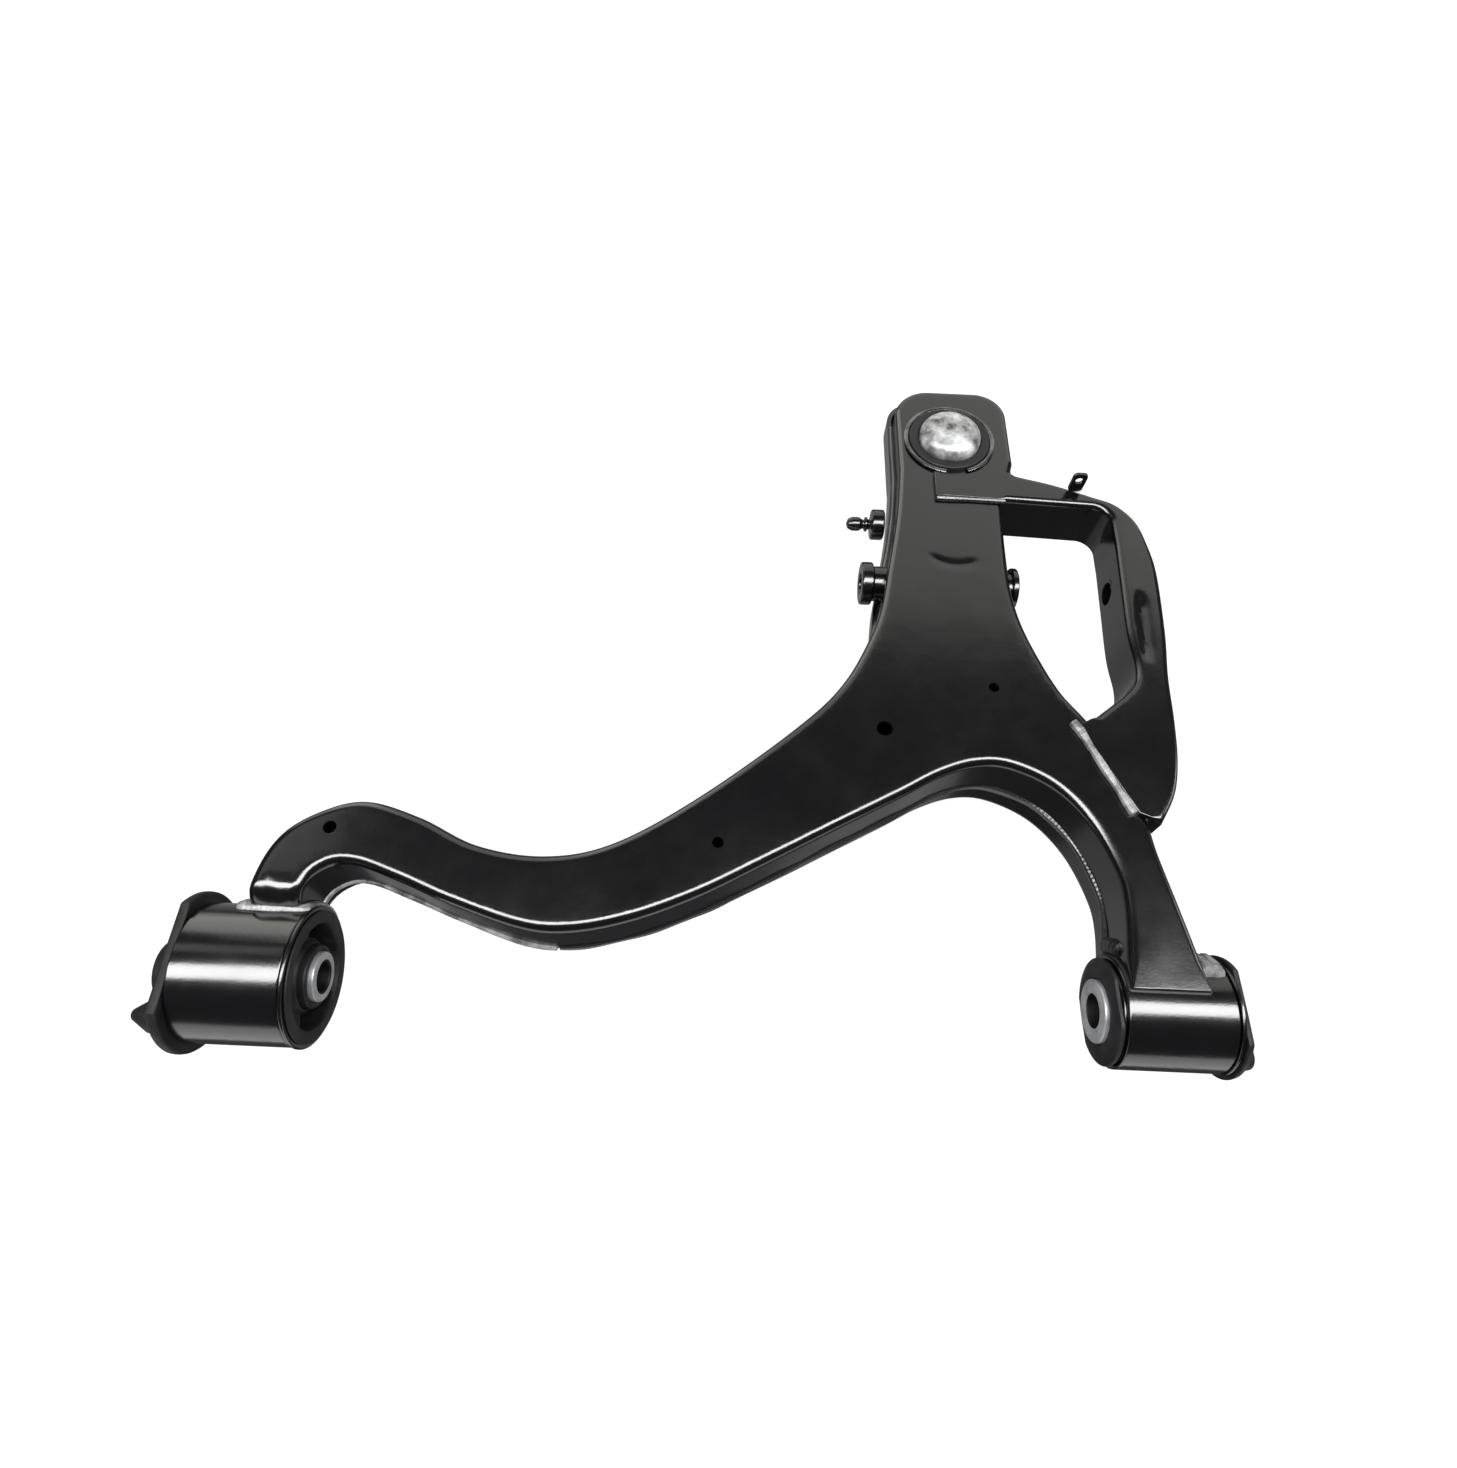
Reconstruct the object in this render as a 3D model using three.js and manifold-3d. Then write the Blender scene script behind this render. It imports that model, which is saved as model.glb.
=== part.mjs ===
// Front lower control arm of a heavy SUV: a welded two-shell Y arm with a damper brace,
// two rubber hinge bushes on one axis and a ball joint with its stud pointing down.
// Millimetres. While the arm is built, x runs along the hinge axis, y points outboard to
// the ball joint and z points up, with the hinge axis at y = 0, z = 0. At the end the whole
// arm is moved so that the origin is the bottom centre of its bounding box.
import * as THREE from 'three';
import { mergeVertices } from 'three/addons/utils/BufferGeometryUtils.js';
import Module from 'manifold-3d';

const wasm = await Module();
wasm.setup();

// ---------------------------------------------------------------- driving dimensions
const GAP = 0.3; // clearance between pieces that touch
const SHEET = 3; // thickness of the pressed sheet

const TOP_Z = 31; // top face of the upper shell
const SEAM_Z = 1; // the shells meet here between the legs and the neck
const UPPER_NECK_RIM_Z = -1; // lower rim of the upper shell inside the neck
const LEG_LAP_Z = 12; // along the legs the lower shell's wall stands up inside the upper one
const NECK_LAP_Z = 15; // along the neck it stands up outside the upper one
const LEG_LAP_Y = 190; // the lap along the legs ends here
const NECK_LAP_Y = 250; // and the lap along the neck starts here
const LEG_FLOOR_Z = -18; // bottom face of the long leg
const HUB_FLOOR_Z = -28; // bottom face where the legs meet
const NECK_FLOOR_Z = -6; // bottom face under the ball joint
const LAP_INSET = SHEET + GAP; // how far inside the outer wall the inner wall of a lap stands

const NECK_LEFT = 102; // left side of the neck
const NECK_RIGHT = 173; // right side of the neck
const END_RIGHT = 185; // right side of the ball joint end
const END_Y = 418; // outboard end of the arm

const BALL = { x: 139.5, y: 366, z: 4, r: 15 }; // ball centre and radius
const HOUSING_R = 27;
const COVER_R = 20.5;
const COVER_TOP_Z = 43;

const DAMPER = { y: 258, z: 12, bore: 7.2, thread: 6.2 }; // axis of the damper's M14 bolt
const TUBE_R = 11; // outside of the damper bolt's crush tube

const BOLT_R = 8.5; // bore of both inner sleeves, for an M16 bolt
const REAR = { x0: -263, x1: -209, r: 35, wall: 3.5, inner: 16, left: -282, right: -202 };
const FRONT = { x0: 200, x1: 254, r: 28, wall: 3, inner: 16, left: 193, right: 263 };

const BRACE_TOP_Z = TOP_Z + GAP + SHEET; // the brace laps over the upper shell
const BRACE_RIM_Z = 0; // lower rim of the brace's walls

// ---------------------------------------------------------------- solids and booleans
function toManifold(geometry) {
  const g = geometry.index ? geometry.toNonIndexed() : geometry.clone();
  for (const name of Object.keys(g.attributes)) {
    if (name !== 'position') g.deleteAttribute(name);
  }
  const merged = mergeVertices(g, 1e-4);
  const mesh = new wasm.Mesh({
    numProp: 3,
    vertProperties: new Float32Array(merged.attributes.position.array),
    triVerts: new Uint32Array(merged.index.array),
  });
  return new wasm.Manifold(mesh);
}

function toGeometry(solid) {
  const mesh = solid.getMesh();
  const geometry = new THREE.BufferGeometry();
  geometry.setAttribute('position', new THREE.BufferAttribute(new Float32Array(mesh.vertProperties), 3));
  geometry.setIndex(new THREE.BufferAttribute(new Uint32Array(mesh.triVerts), 1));
  return geometry;
}

// A plan outline (array of Vector2) pulled up from z0 to z1.
function prism(outline, z0, z1) {
  const geometry = new THREE.ExtrudeGeometry(new THREE.Shape(outline), {
    depth: z1 - z0,
    bevelEnabled: false,
    curveSegments: 1,
  });
  geometry.translate(0, 0, z0);
  return toManifold(geometry);
}

// A side profile in (x, z), pulled along y from y0 to y1.
function profileAlongY(points, y0, y1) {
  const solid = new THREE.ExtrudeGeometry(new THREE.Shape(points), {
    depth: y1 - y0,
    bevelEnabled: false,
    curveSegments: 1,
  });
  solid.rotateX(Math.PI / 2);
  solid.translate(0, y1, 0);
  return toManifold(solid);
}

// A side profile in (y, z), pulled along x from x0 to x1.
function profileAlongX(points, x0, x1) {
  const solid = new THREE.ExtrudeGeometry(new THREE.Shape(points), {
    depth: x1 - x0,
    bevelEnabled: false,
    curveSegments: 1,
  });
  solid.applyMatrix4(new THREE.Matrix4().makeBasis(
    new THREE.Vector3(0, 1, 0),
    new THREE.Vector3(0, 0, 1),
    new THREE.Vector3(1, 0, 0),
  ));
  solid.translate(x0, 0, 0);
  return toManifold(solid);
}

// A body of revolution about the vertical axis: profile points are [radius, z].
function turned(profile, segments = 32) {
  const points = profile.map(([r, z]) => new THREE.Vector2(r, z));
  if (THREE.ShapeUtils.area(points) < 0) points.reverse();
  const geometry = new THREE.LatheGeometry(points, segments);
  geometry.rotateX(Math.PI / 2);
  return geometry;
}

// The same about the hinge axis: profile points are [radius, x].
function turnedAlongX(profile, segments = 40) {
  const geometry = turned(profile, segments);
  geometry.rotateY(Math.PI / 2);
  return geometry;
}

// A closed ring profile between two radii and two ends.
function ringProfile(inner, outer, a, b) {
  return [[inner, a], [outer, a], [outer, b], [inner, b], [inner, a]];
}

function rod(radius, a, b) {
  return [[0, a], [radius, a], [radius, b], [0, b]];
}

function roundBar(radius, x0, x1, y, z, segments = 24) {
  const geometry = turnedAlongX(rod(radius, x0, x1), segments);
  geometry.translate(0, y, z);
  return geometry;
}

function verticalBar(radius, x, y, z0, z1, segments = 24) {
  const geometry = turned(rod(radius, z0, z1), segments);
  geometry.translate(x, y, 0);
  return geometry;
}

// ---------------------------------------------------------------- outlines
const v2 = (x, y) => new THREE.Vector2(x, y);

// Points along a smooth curve through the given places, about one every step.
function smooth(places, step = 9) {
  const curve = new THREE.SplineCurve(places.map(([x, y]) => v2(x, y)));
  return curve.getSpacedPoints(Math.max(3, Math.round(curve.getLength() / step)));
}

function arc(x, y, radius, fromDeg, toDeg, count = 7) {
  const points = [];
  for (let i = 0; i <= count; i += 1) {
    const a = THREE.MathUtils.degToRad(fromDeg + ((toDeg - fromDeg) * i) / count);
    points.push(v2(x + radius * Math.cos(a), y + radius * Math.sin(a)));
  }
  return points;
}

// Removes points that lie almost on the one before.
function tidy(points) {
  const kept = points.filter((p, i) => i === 0 || p.distanceTo(points[i - 1]) > 0.5);
  if (kept[0].distanceTo(kept[kept.length - 1]) < 0.5) kept.pop();
  return kept;
}

// Moves a clockwise outline inwards by a distance, mitred at the corners.
function inset(points, distance) {
  return points.map((p, i) => {
    const before = points[(i + points.length - 1) % points.length];
    const after = points[(i + 1) % points.length];
    const d1 = p.clone().sub(before).normalize();
    const d2 = after.clone().sub(p).normalize();
    const n1 = v2(d1.y, -d1.x);
    const n2 = v2(d2.y, -d2.x);
    const mitre = n1.clone().add(n2).normalize();
    const stretch = Math.max(0.5, mitre.dot(n1));
    return p.clone().add(mitre.multiplyScalar(distance / stretch));
  });
}

// The arm's outermost walls seen from above, clockwise from the rear bush: out along the far
// edge of the long leg, up the left side of the neck, round the end, down the right side and
// the short leg, then back along the arch.
function outermost(leftCornerR) {
  const rightCornerR = 25;
  return tidy([
    ...smooth([
      [-238.7, 0], [-238.7, 40], [-231, 65], [-213, 80], [-190, 86.7], [-160, 78.8],
      [-128, 64.8], [-92, 60.7], [-57.5, 69.5], [-15, 97.5], [37, 142], [65, 173.5],
      [82.5, 211], [90, 253], [98, 300], [NECK_LEFT, 340],
    ]),
    ...arc(NECK_LEFT + leftCornerR, END_Y - leftCornerR, leftCornerR, 180, 90, 6),
    ...arc(END_RIGHT - rightCornerR, END_Y - rightCornerR, rightCornerR, 90, 0, 6),
    ...smooth([
      [END_RIGHT, 350], [181, 335], [175, 318], [NECK_RIGHT, 290], [NECK_RIGHT, 240],
      [177.5, 207], [189.5, 175], [207, 148], [224, 105], [229, 75], [235, 45], [240, 18],
      [241, 5],
    ]),
    v2(202, 5),
    ...smooth([
      [203, 20], [206.5, 47], [205, 66], [195, 92], [178, 112], [155, 123], [136, 123],
      [116, 115.5], [95, 103], [60, 83], [22, 61], [-12, 42], [-45, 28], [-75, 21],
      [-100, 22], [-137, 33], [-163, 43], [-188, 51], [-203, 49], [-212, 36], [-214, 0],
    ]),
  ]);
}

// How far a shell's wall stands inside the outermost walls: one value along the legs, one
// along the neck, and a smooth change in between.
function shellOutline(legInset, neckInset, leftCornerR) {
  const outline = outermost(leftCornerR);
  const full = inset(outline, 1);
  return outline.map((p, i) => {
    const t = THREE.MathUtils.smoothstep(p.y, LEG_LAP_Y, NECK_LAP_Y);
    return p.clone().lerp(full[i], legInset + (neckInset - legInset) * t);
  });
}

// ---------------------------------------------------------------- pressed shells
// Bottom of the arm in (x, z): shallow along the long leg, deep under the hub.
function floorAlongX(raise) {
  return [
    v2(-300, LEG_FLOOR_Z + raise), v2(-70, LEG_FLOOR_Z + raise), v2(-20, LEG_FLOOR_Z - 5 + raise),
    v2(40, HUB_FLOOR_Z + raise), v2(300, HUB_FLOOR_Z + raise), v2(300, 60), v2(-300, 60),
  ];
}

// Bottom of the arm in (y, z): deep under the hub, shallow under the ball joint.
function floorAlongY(raise) {
  return [
    v2(-60, HUB_FLOOR_Z + raise), v2(165, HUB_FLOOR_Z + raise), v2(225, -20 + raise),
    v2(310, NECK_FLOOR_Z + raise), v2(460, NECK_FLOOR_Z + raise), v2(460, 60), v2(-60, 60),
  ];
}

// Everything below the lower shell's upper rim, in (y, z).
function belowLowerRim() {
  return [
    v2(-60, -60), v2(460, -60), v2(460, NECK_LAP_Z), v2(NECK_LAP_Y, NECK_LAP_Z),
    v2(NECK_LAP_Y, SEAM_Z), v2(LEG_LAP_Y, SEAM_Z), v2(LEG_LAP_Y, LEG_LAP_Z), v2(-60, LEG_LAP_Z),
  ];
}

// Everything above the upper shell's lower rim, in (y, z).
function aboveUpperRim() {
  const rim = SEAM_Z + GAP;
  return [
    v2(-60, rim), v2(NECK_LAP_Y + GAP, rim), v2(NECK_LAP_Y + GAP, UPPER_NECK_RIM_Z),
    v2(460, UPPER_NECK_RIM_Z), v2(460, 60), v2(-60, 60),
  ];
}

function cutByFloor(solid, raise) {
  const alongX = profileAlongY(floorAlongX(raise), -60, 460);
  const alongY = profileAlongX(floorAlongY(raise), -300, 300);
  return solid.intersect(alongX).intersect(alongY);
}

const upperOutline = shellOutline(0, LAP_INSET, 27);
const lowerOutline = shellOutline(LAP_INSET, 0, 20);

const rearSleeveRoom = toManifold(roundBar(REAR.r + GAP, REAR.x0 - 20, REAR.x1 + 20, 0, 0, 40));
const frontSleeveRoom = toManifold(roundBar(FRONT.r + GAP, FRONT.x0 - 20, FRONT.x1 + 20, 0, 0, 40));
const housingRoom = toManifold(verticalBar(HOUSING_R + GAP, BALL.x, BALL.y, -60, 60, 40));
const boltRoom = toManifold(roundBar(TUBE_R + GAP, 60, 200, DAMPER.y, DAMPER.z));

const TOOLING_HOLES = [ // x, y, radius
  [-3, 71, 3], [87, 143, 4.5], [151, 173, 3], [-205, 70, 3.5],
];

const sharedRooms = [rearSleeveRoom, frontSleeveRoom, housingRoom, boltRoom];

function upperShell() {
  const outer = prism(upperOutline, UPPER_NECK_RIM_Z, TOP_Z);
  const inner = prism(inset(upperOutline, SHEET), UPPER_NECK_RIM_Z - 1, TOP_Z - SHEET);
  let shell = outer.subtract(inner).intersect(profileAlongX(aboveUpperRim(), -300, 300));
  for (const cut of sharedRooms) {
    shell = shell.subtract(cut);
  }
  for (const [x, y, r] of TOOLING_HOLES) {
    shell = shell.subtract(toManifold(verticalBar(r, x, y, 0, 60, 12)));
  }
  return shell;
}

function lowerShell() {
  const outer = cutByFloor(prism(lowerOutline, HUB_FLOOR_Z - 1, NECK_LAP_Z), 0);
  const inner = cutByFloor(prism(inset(lowerOutline, SHEET), HUB_FLOOR_Z - 1, NECK_LAP_Z + 1), SHEET);
  let shell = outer.subtract(inner).intersect(profileAlongX(belowLowerRim(), -300, 300));
  for (const cut of sharedRooms) {
    shell = shell.subtract(cut);
  }
  return shell;
}

// ---------------------------------------------------------------- damper brace
// The channel's plan, clockwise: outer edge from the ball joint end round to the short leg,
// then back up the side of the damper opening. Its left side runs into the arm, where it is
// trimmed, so that the walls are only on the free sides.
const braceOuterEdge = [
  ...smooth([
    [186, 334], [205, 329], [228, 320.5], [243, 314], [254, 300], [258.5, 280], [260, 258],
    [257, 215], [253, 184], [251, 155], [248, 130], [242.5, 110], [232, 92],
  ], 34),
];
const braceOpeningEdge = [
  v2(207, 156),
  ...smooth([[223, 169], [232, 179], [235, 192], [234, 215], [236, 250], [238, 282]], 12),
  ...arc(226.5, 299, 12, 0, 90, 5),
];

function braceChannelOutline() {
  return tidy([
    v2(150, 334), ...braceOuterEdge, v2(214, 96), v2(196, 146), ...braceOpeningEdge, v2(150, 315),
  ]);
}

// The top plate's laps over the neck and over the short leg, where it is welded on.
function braceTopOutline() {
  return tidy([
    v2(127, 315), ...arc(BALL.x, BALL.y, HOUSING_R + 6, -112, -50, 6), ...braceOuterEdge,
    v2(220, 97), v2(195, 149), ...braceOpeningEdge,
  ]);
}

function brace() {
  const channel = braceChannelOutline();
  const outer = prism(channel, BRACE_RIM_Z, BRACE_TOP_Z);
  const inner = prism(inset(channel, SHEET), BRACE_RIM_Z - 1, BRACE_TOP_Z - SHEET);
  let solid = outer.subtract(inner);
  for (const outline of [upperOutline, lowerOutline]) {
    solid = solid.subtract(prism(inset(outline, -GAP), -60, BRACE_TOP_Z + 1));
  }
  solid = solid.add(prism(braceTopOutline(), BRACE_TOP_Z - SHEET, BRACE_TOP_Z));
  const boltHole = roundBar(DAMPER.bore, 225, 250, DAMPER.y, DAMPER.z);
  const accessHole = roundBar(11, 248, 270, DAMPER.y, DAMPER.z);
  for (const cut of [toManifold(boltHole), toManifold(accessHole)]) {
    solid = solid.subtract(cut);
  }
  return solid.subtract(housingRoom);
}

// ---------------------------------------------------------------- scene graph
const arm = new THREE.Group();

const FINISH = {
  paint: { color: 0x1c1c1f, roughness: 0.32, metalness: 0.35 },
  steel: { color: 0xa9abad, roughness: 0.35, metalness: 0.9 },
  zinc: { color: 0xd9dadb, roughness: 0.25, metalness: 0.9 },
  rubber: { color: 0x151516, roughness: 0.7, metalness: 0.0 },
  plastic: { color: 0xe6e2d6, roughness: 0.5, metalness: 0.0 },
};

function add(name, shape, finish, x = 0, y = 0, z = 0) {
  const geometry = shape.isBufferGeometry ? toGeometry(toManifold(shape)) : toGeometry(shape);
  const mesh = new THREE.Mesh(geometry, new THREE.MeshStandardMaterial(FINISH[finish]));
  mesh.name = name;
  mesh.position.set(x, y, z);
  arm.add(mesh);
}

add('upper_shell', upperShell(), 'paint');
add('lower_shell', lowerShell(), 'paint');
add('damper_brace', brace(), 'paint');

// Upright tab on the brace that holds a wiring clip.
function harnessTab() {
  const width = 9;
  const height = 15;
  const hole = 2.5;
  const shape = new THREE.Shape([
    v2(-width / 2, 0), v2(width / 2, 0), v2(width / 2, height - 3), v2(width / 2 - 3, height),
    v2(3 - width / 2, height), v2(-width / 2, height - 3),
  ]);
  shape.holes.push(new THREE.Path(arc(0, height - 5.5, hole, 0, 330, 11)));
  const geometry = new THREE.ExtrudeGeometry(shape, { depth: SHEET - 1, bevelEnabled: false });
  geometry.rotateX(Math.PI / 2);
  return geometry;
}
add('harness_tab', harnessTab(), 'paint', 216.5, 324, BRACE_TOP_Z + GAP);

// A ring or other hollow turned piece about an axis parallel to the hinge axis.
function hollowBar(inner, outer, x0, x1, segments = 28) {
  return turnedAlongX(ringProfile(inner, outer, x0, x1), segments);
}

// Damper bolt: crush tube through the neck, weld nut on the left, boss ring on the right.
const TUBE_X0 = 86.8;
const TUBE_X1 = 177;
const NUT_LENGTH = 7.5;
function addOnDamperAxis(name, shape) {
  add(name, shape, 'paint', 0, DAMPER.y, DAMPER.z);
}
addOnDamperAxis('damper_bolt_tube', hollowBar(DAMPER.bore, TUBE_R, TUBE_X0, TUBE_X1));
addOnDamperAxis('damper_weld_nut', hollowBar(DAMPER.thread, 13.5, TUBE_X0 - NUT_LENGTH, TUBE_X0 - GAP));
addOnDamperAxis('damper_boss_ring', hollowBar(TUBE_R + GAP, 13.5, NECK_RIGHT + 0.5, TUBE_X1));

// Ball-ended stud for the ride height sensor's link, on a round boss on the neck.
const SENSOR = { y: 313, z: 5, bossX0: 89, bossX1: 97.5, tipX: 72.5 };
add('sensor_stud_boss', roundBar(10, SENSOR.bossX0, SENSOR.bossX1, 0, 0), 'paint', 0, SENSOR.y, SENSOR.z);
const studProfile = [
  [0, SENSOR.tipX], [3.2, SENSOR.tipX + 2], [4.6, SENSOR.tipX + 5], [4.6, SENSOR.tipX + 14],
  [3.4, SENSOR.tipX + 15], [3.4, SENSOR.bossX0 - GAP], [0, SENSOR.bossX0 - GAP],
];
add('sensor_stud', turnedAlongX(studProfile, 16), 'steel', 0, SENSOR.y, SENSOR.z);

// ---------------------------------------------------------------- hinge bushes
const CAN = 2; // wall of a bush's outer can

function bushHousing(bush) {
  return hollowBar(bush.r - bush.wall, bush.r, bush.x0, bush.x1, 40);
}

// A sector of a ring between two angles (degrees from +y towards +z), for the rubber's voids.
function kidney(inner, outer, fromDeg, toDeg, x0, x1) {
  const outline = [...arc(0, 0, outer, fromDeg, toDeg, 8), ...arc(0, 0, inner, toDeg, fromDeg, 8)];
  return profileAlongX(outline, x0, x1);
}

// Rear bush: a wide can with a rolled lip, rubber on three webs between three voids.
const rearBore = REAR.r - REAR.wall;
const rearCan = { r1: rearBore - GAP, r0: rearBore - GAP - CAN };
add('rear_bush_housing', bushHousing(REAR), 'paint');
const rearLipX = REAR.x1 + GAP;
add('rear_bush_can', turnedAlongX([
  [rearCan.r0, REAR.x0 - 1], [rearCan.r1, REAR.x0 - 1], [rearCan.r1, rearLipX],
  [REAR.r + 0.8, rearLipX], [REAR.r + 0.8, rearLipX + CAN], [rearCan.r0, rearLipX + CAN],
  [rearCan.r0, REAR.x0 - 1],
]), 'paint');

function rearRubber() {
  const inner = REAR.inner + GAP;
  let rubber = toManifold(hollowBar(inner, rearCan.r0 - GAP, REAR.x0, REAR.x1 - 1, 40));
  const voidX0 = REAR.x0 + 8;
  for (const middle of [110, 230, 350]) {
    rubber = rubber.subtract(kidney(inner + 3, rearCan.r0 - 3, middle - 38, middle + 38, voidX0, 0));
  }
  return rubber;
}
add('rear_bush_rubber', rearRubber(), 'rubber');
add('rear_bush_inner_sleeve', hollowBar(BOLT_R, REAR.inner, REAR.left, REAR.right, 32), 'steel');

// A slab |z| <= half, wide enough for any bush, for flattening a round flange.
function flats(half) {
  const reach = 400;
  return profileAlongX([v2(-60, -half), v2(60, -half), v2(60, half), v2(-60, half)], -reach, reach);
}

// Rubber bumper on the outer end of an inner sleeve: a flange with two flats and with a
// lobe on its inboard side.
function bumper(profile, flatHalf, lobe) {
  const body = toManifold(turnedAlongX(profile, 40)).intersect(flats(flatHalf));
  const pad = roundBar(lobe.r, Math.min(lobe.x0, lobe.x1), Math.max(lobe.x0, lobe.x1), lobe.y, lobe.z, 16);
  const bore = roundBar(profile[0][0] + 6, -400, 400, 0, 0, 32);
  return body.add(toManifold(pad)).subtract(toManifold(bore));
}

const rearFlangeX = REAR.x0 - 1 - GAP;
add('rear_bush_bumper', bumper([
  [REAR.inner - 5.7, rearFlangeX], [40, rearFlangeX], [40, rearFlangeX - 7], [27, rearFlangeX - 11],
  [20, REAR.left + 3], [REAR.inner - 5.7, REAR.left + 3], [REAR.inner - 5.7, rearFlangeX],
], 34, { r: 8, x0: rearFlangeX - 4, x1: REAR.left - 5, y: -20, z: 3 }), 'rubber');

// Front bush: a narrow can, solid rubber, a thrust ring inboard and a flange outboard.
const frontBore = FRONT.r - FRONT.wall;
const frontCan = { r1: frontBore - GAP, r0: frontBore - GAP - CAN };
add('front_bush_housing', bushHousing(FRONT), 'paint');
add('front_bush_can', turnedAlongX([
  [frontCan.r0, FRONT.x0 - 1], [frontCan.r1, FRONT.x0 - 1], [frontCan.r1, FRONT.x1 + GAP],
  [FRONT.r + 1, FRONT.x1 + GAP], [FRONT.r + 1, FRONT.x1 + GAP + CAN],
  [frontCan.r0, FRONT.x1 + GAP + CAN], [frontCan.r0, FRONT.x0 - 1],
]), 'paint');
add('front_bush_rubber', hollowBar(FRONT.inner + GAP, frontCan.r0 - GAP, FRONT.x0 - 0.5, FRONT.x1, 40), 'rubber');
add('front_bush_inner_sleeve', hollowBar(BOLT_R, FRONT.inner, FRONT.left, FRONT.right, 32), 'steel');
const thrustRing = hollowBar(FRONT.inner + GAP, FRONT.r - 1, FRONT.x0 - 5, FRONT.x0 - 1 - GAP, 40);
add('front_bush_thrust_ring', toManifold(thrustRing).intersect(flats(24)), 'rubber');
const frontFlangeX = FRONT.x1 + CAN + 2 * GAP;
add('front_bush_bumper', bumper([
  [FRONT.inner - 5.7, frontFlangeX], [FRONT.r + 3, frontFlangeX], [FRONT.r + 2, frontFlangeX + 3],
  [19, FRONT.right - 1], [FRONT.inner - 5.7, FRONT.right - 1], [FRONT.inner - 5.7, frontFlangeX],
], 25, { r: 7, x0: frontFlangeX + 1, x1: FRONT.right + 4, y: -19, z: 4 }), 'rubber');

// ---------------------------------------------------------------- ball joint
// Profiles are [radius, z] about the vertical axis through the ball's centre.
function addOnBallAxis(name, shape, finish) {
  add(name, shape, finish, BALL.x, BALL.y, 0);
}

const COVER_SEAT_Z = 24;
const CAVITY_R = 19.3;
const SEAT_Z = BALL.z - 9.8; // the liner stands on this shoulder
const HOUSING_FOOT_Z = -21;
const HOUSING_TOP_Z = 34;
addOnBallAxis('ball_joint_housing', turned([
  [12.8, SEAT_Z], [18.3, HOUSING_FOOT_Z], [22, HOUSING_FOOT_Z], [22, -15.5], [HOUSING_R, -11],
  [HOUSING_R, HOUSING_TOP_Z - 1.5], [HOUSING_R - 1.5, HOUSING_TOP_Z], [COVER_R + GAP, HOUSING_TOP_Z],
  [COVER_R + GAP, COVER_SEAT_Z - GAP], [CAVITY_R, COVER_SEAT_Z - GAP], [CAVITY_R, SEAT_Z],
  [12.8, SEAT_Z],
], 40), 'paint');

addOnBallAxis('ball_joint_cover', turned([
  [0, COVER_SEAT_Z], [COVER_R, COVER_SEAT_Z], [COVER_R, COVER_TOP_Z - 2.2],
  [COVER_R - 0.8, COVER_TOP_Z - 0.9], [COVER_R - 2.5, COVER_TOP_Z - 0.3], [0, COVER_TOP_Z],
], 40), 'zinc');
addOnBallAxis('preload_disc', turned(rod(12, 20 + GAP, COVER_SEAT_Z - GAP), 24), 'rubber');

// Spring ring round the housing, open on the inboard side.
function retainingRing() {
  const inner = HOUSING_R + GAP;
  const outer = HOUSING_R + 3.5;
  const outline = [...arc(0, 0, outer, -70, 262, 32), ...arc(0, 0, inner, 262, -70, 32)];
  return prism(outline, TOP_Z + GAP, TOP_Z + GAP + 2);
}
addOnBallAxis('retaining_ring', retainingRing(), 'steel');

// Bearing liner: a cup with a spherical seat, open at the bottom for the stud.
function linerProfile() {
  const seat = [];
  const seatR = BALL.r + GAP;
  const steps = 10;
  const low = Math.asin(-9.5 / seatR);
  const high = Math.acos(5 / seatR);
  for (let i = 0; i <= steps; i += 1) {
    const a = low + ((high - low) * i) / steps;
    seat.push([seatR * Math.cos(a), BALL.z + seatR * Math.sin(a)]);
  }
  const first = seat[0];
  return [...seat, [5, 20], [CAVITY_R - GAP, 20], [CAVITY_R - GAP, first[1]], first];
}
addOnBallAxis('ball_liner', turned(linerProfile(), 32), 'plastic');

// Ball stud: ball, neck, collar, taper for the knuckle and thread, pointing down.
const NECK_R = 7.5;
const STUD_END_Z = -78;
function studProfilePoints() {
  const ball = [];
  const steps = 12;
  const low = -Math.acos(NECK_R / BALL.r);
  for (let i = 0; i <= steps; i += 1) {
    const a = low + ((Math.PI / 2 - low) * i) / steps;
    ball.push([Math.max(0, BALL.r * Math.cos(a)), BALL.z + BALL.r * Math.sin(a)]);
  }
  ball[steps][0] = 0;
  return [
    [0, STUD_END_Z], [5.6, STUD_END_Z], [7, STUD_END_Z + 1.5], [7, -61], [7.8, -60], [9.3, -41],
    [9.5, -40], [9.5, -33], [NECK_R, -31], ...ball,
  ];
}
addOnBallAxis('ball_stud', turned(studProfilePoints(), 32), 'steel');

// Dust boot between the housing's foot and the stud's collar, with a ring at each end.
addOnBallAxis('dust_boot', turned([
  [22.3, -16.5], [24.3, -16.5], [24.3, -20.5], [26, -24], [25.6, -28], [22, -32.5], [16, -35.5],
  [12.4, -37.5], [12.4, -41], [9.8, -41], [9.8, -36.5], [15, -33.6], [20.6, -30.8], [23.4, -27.4],
  [23.8, -24.6], [22.3, -21.6], [22.3, -16.5],
], 32), 'rubber');
addOnBallAxis('boot_housing_ring', turned(ringProfile(24.3 + GAP, 25.6, -19.6, -17.4), 32), 'steel');
addOnBallAxis('boot_stud_ring', turned(ringProfile(12.4 + GAP, 13.8, -40.4, -38.4), 28), 'steel');

// ---------------------------------------------------------------- origin
// The frame's origin is the bottom centre of the arm's bounding box.
const box = new THREE.Box3().setFromObject(arm);
const middle = box.getCenter(new THREE.Vector3());
arm.position.set(-middle.x, -middle.y, -box.min.z);
arm.updateMatrixWorld(true);

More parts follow.
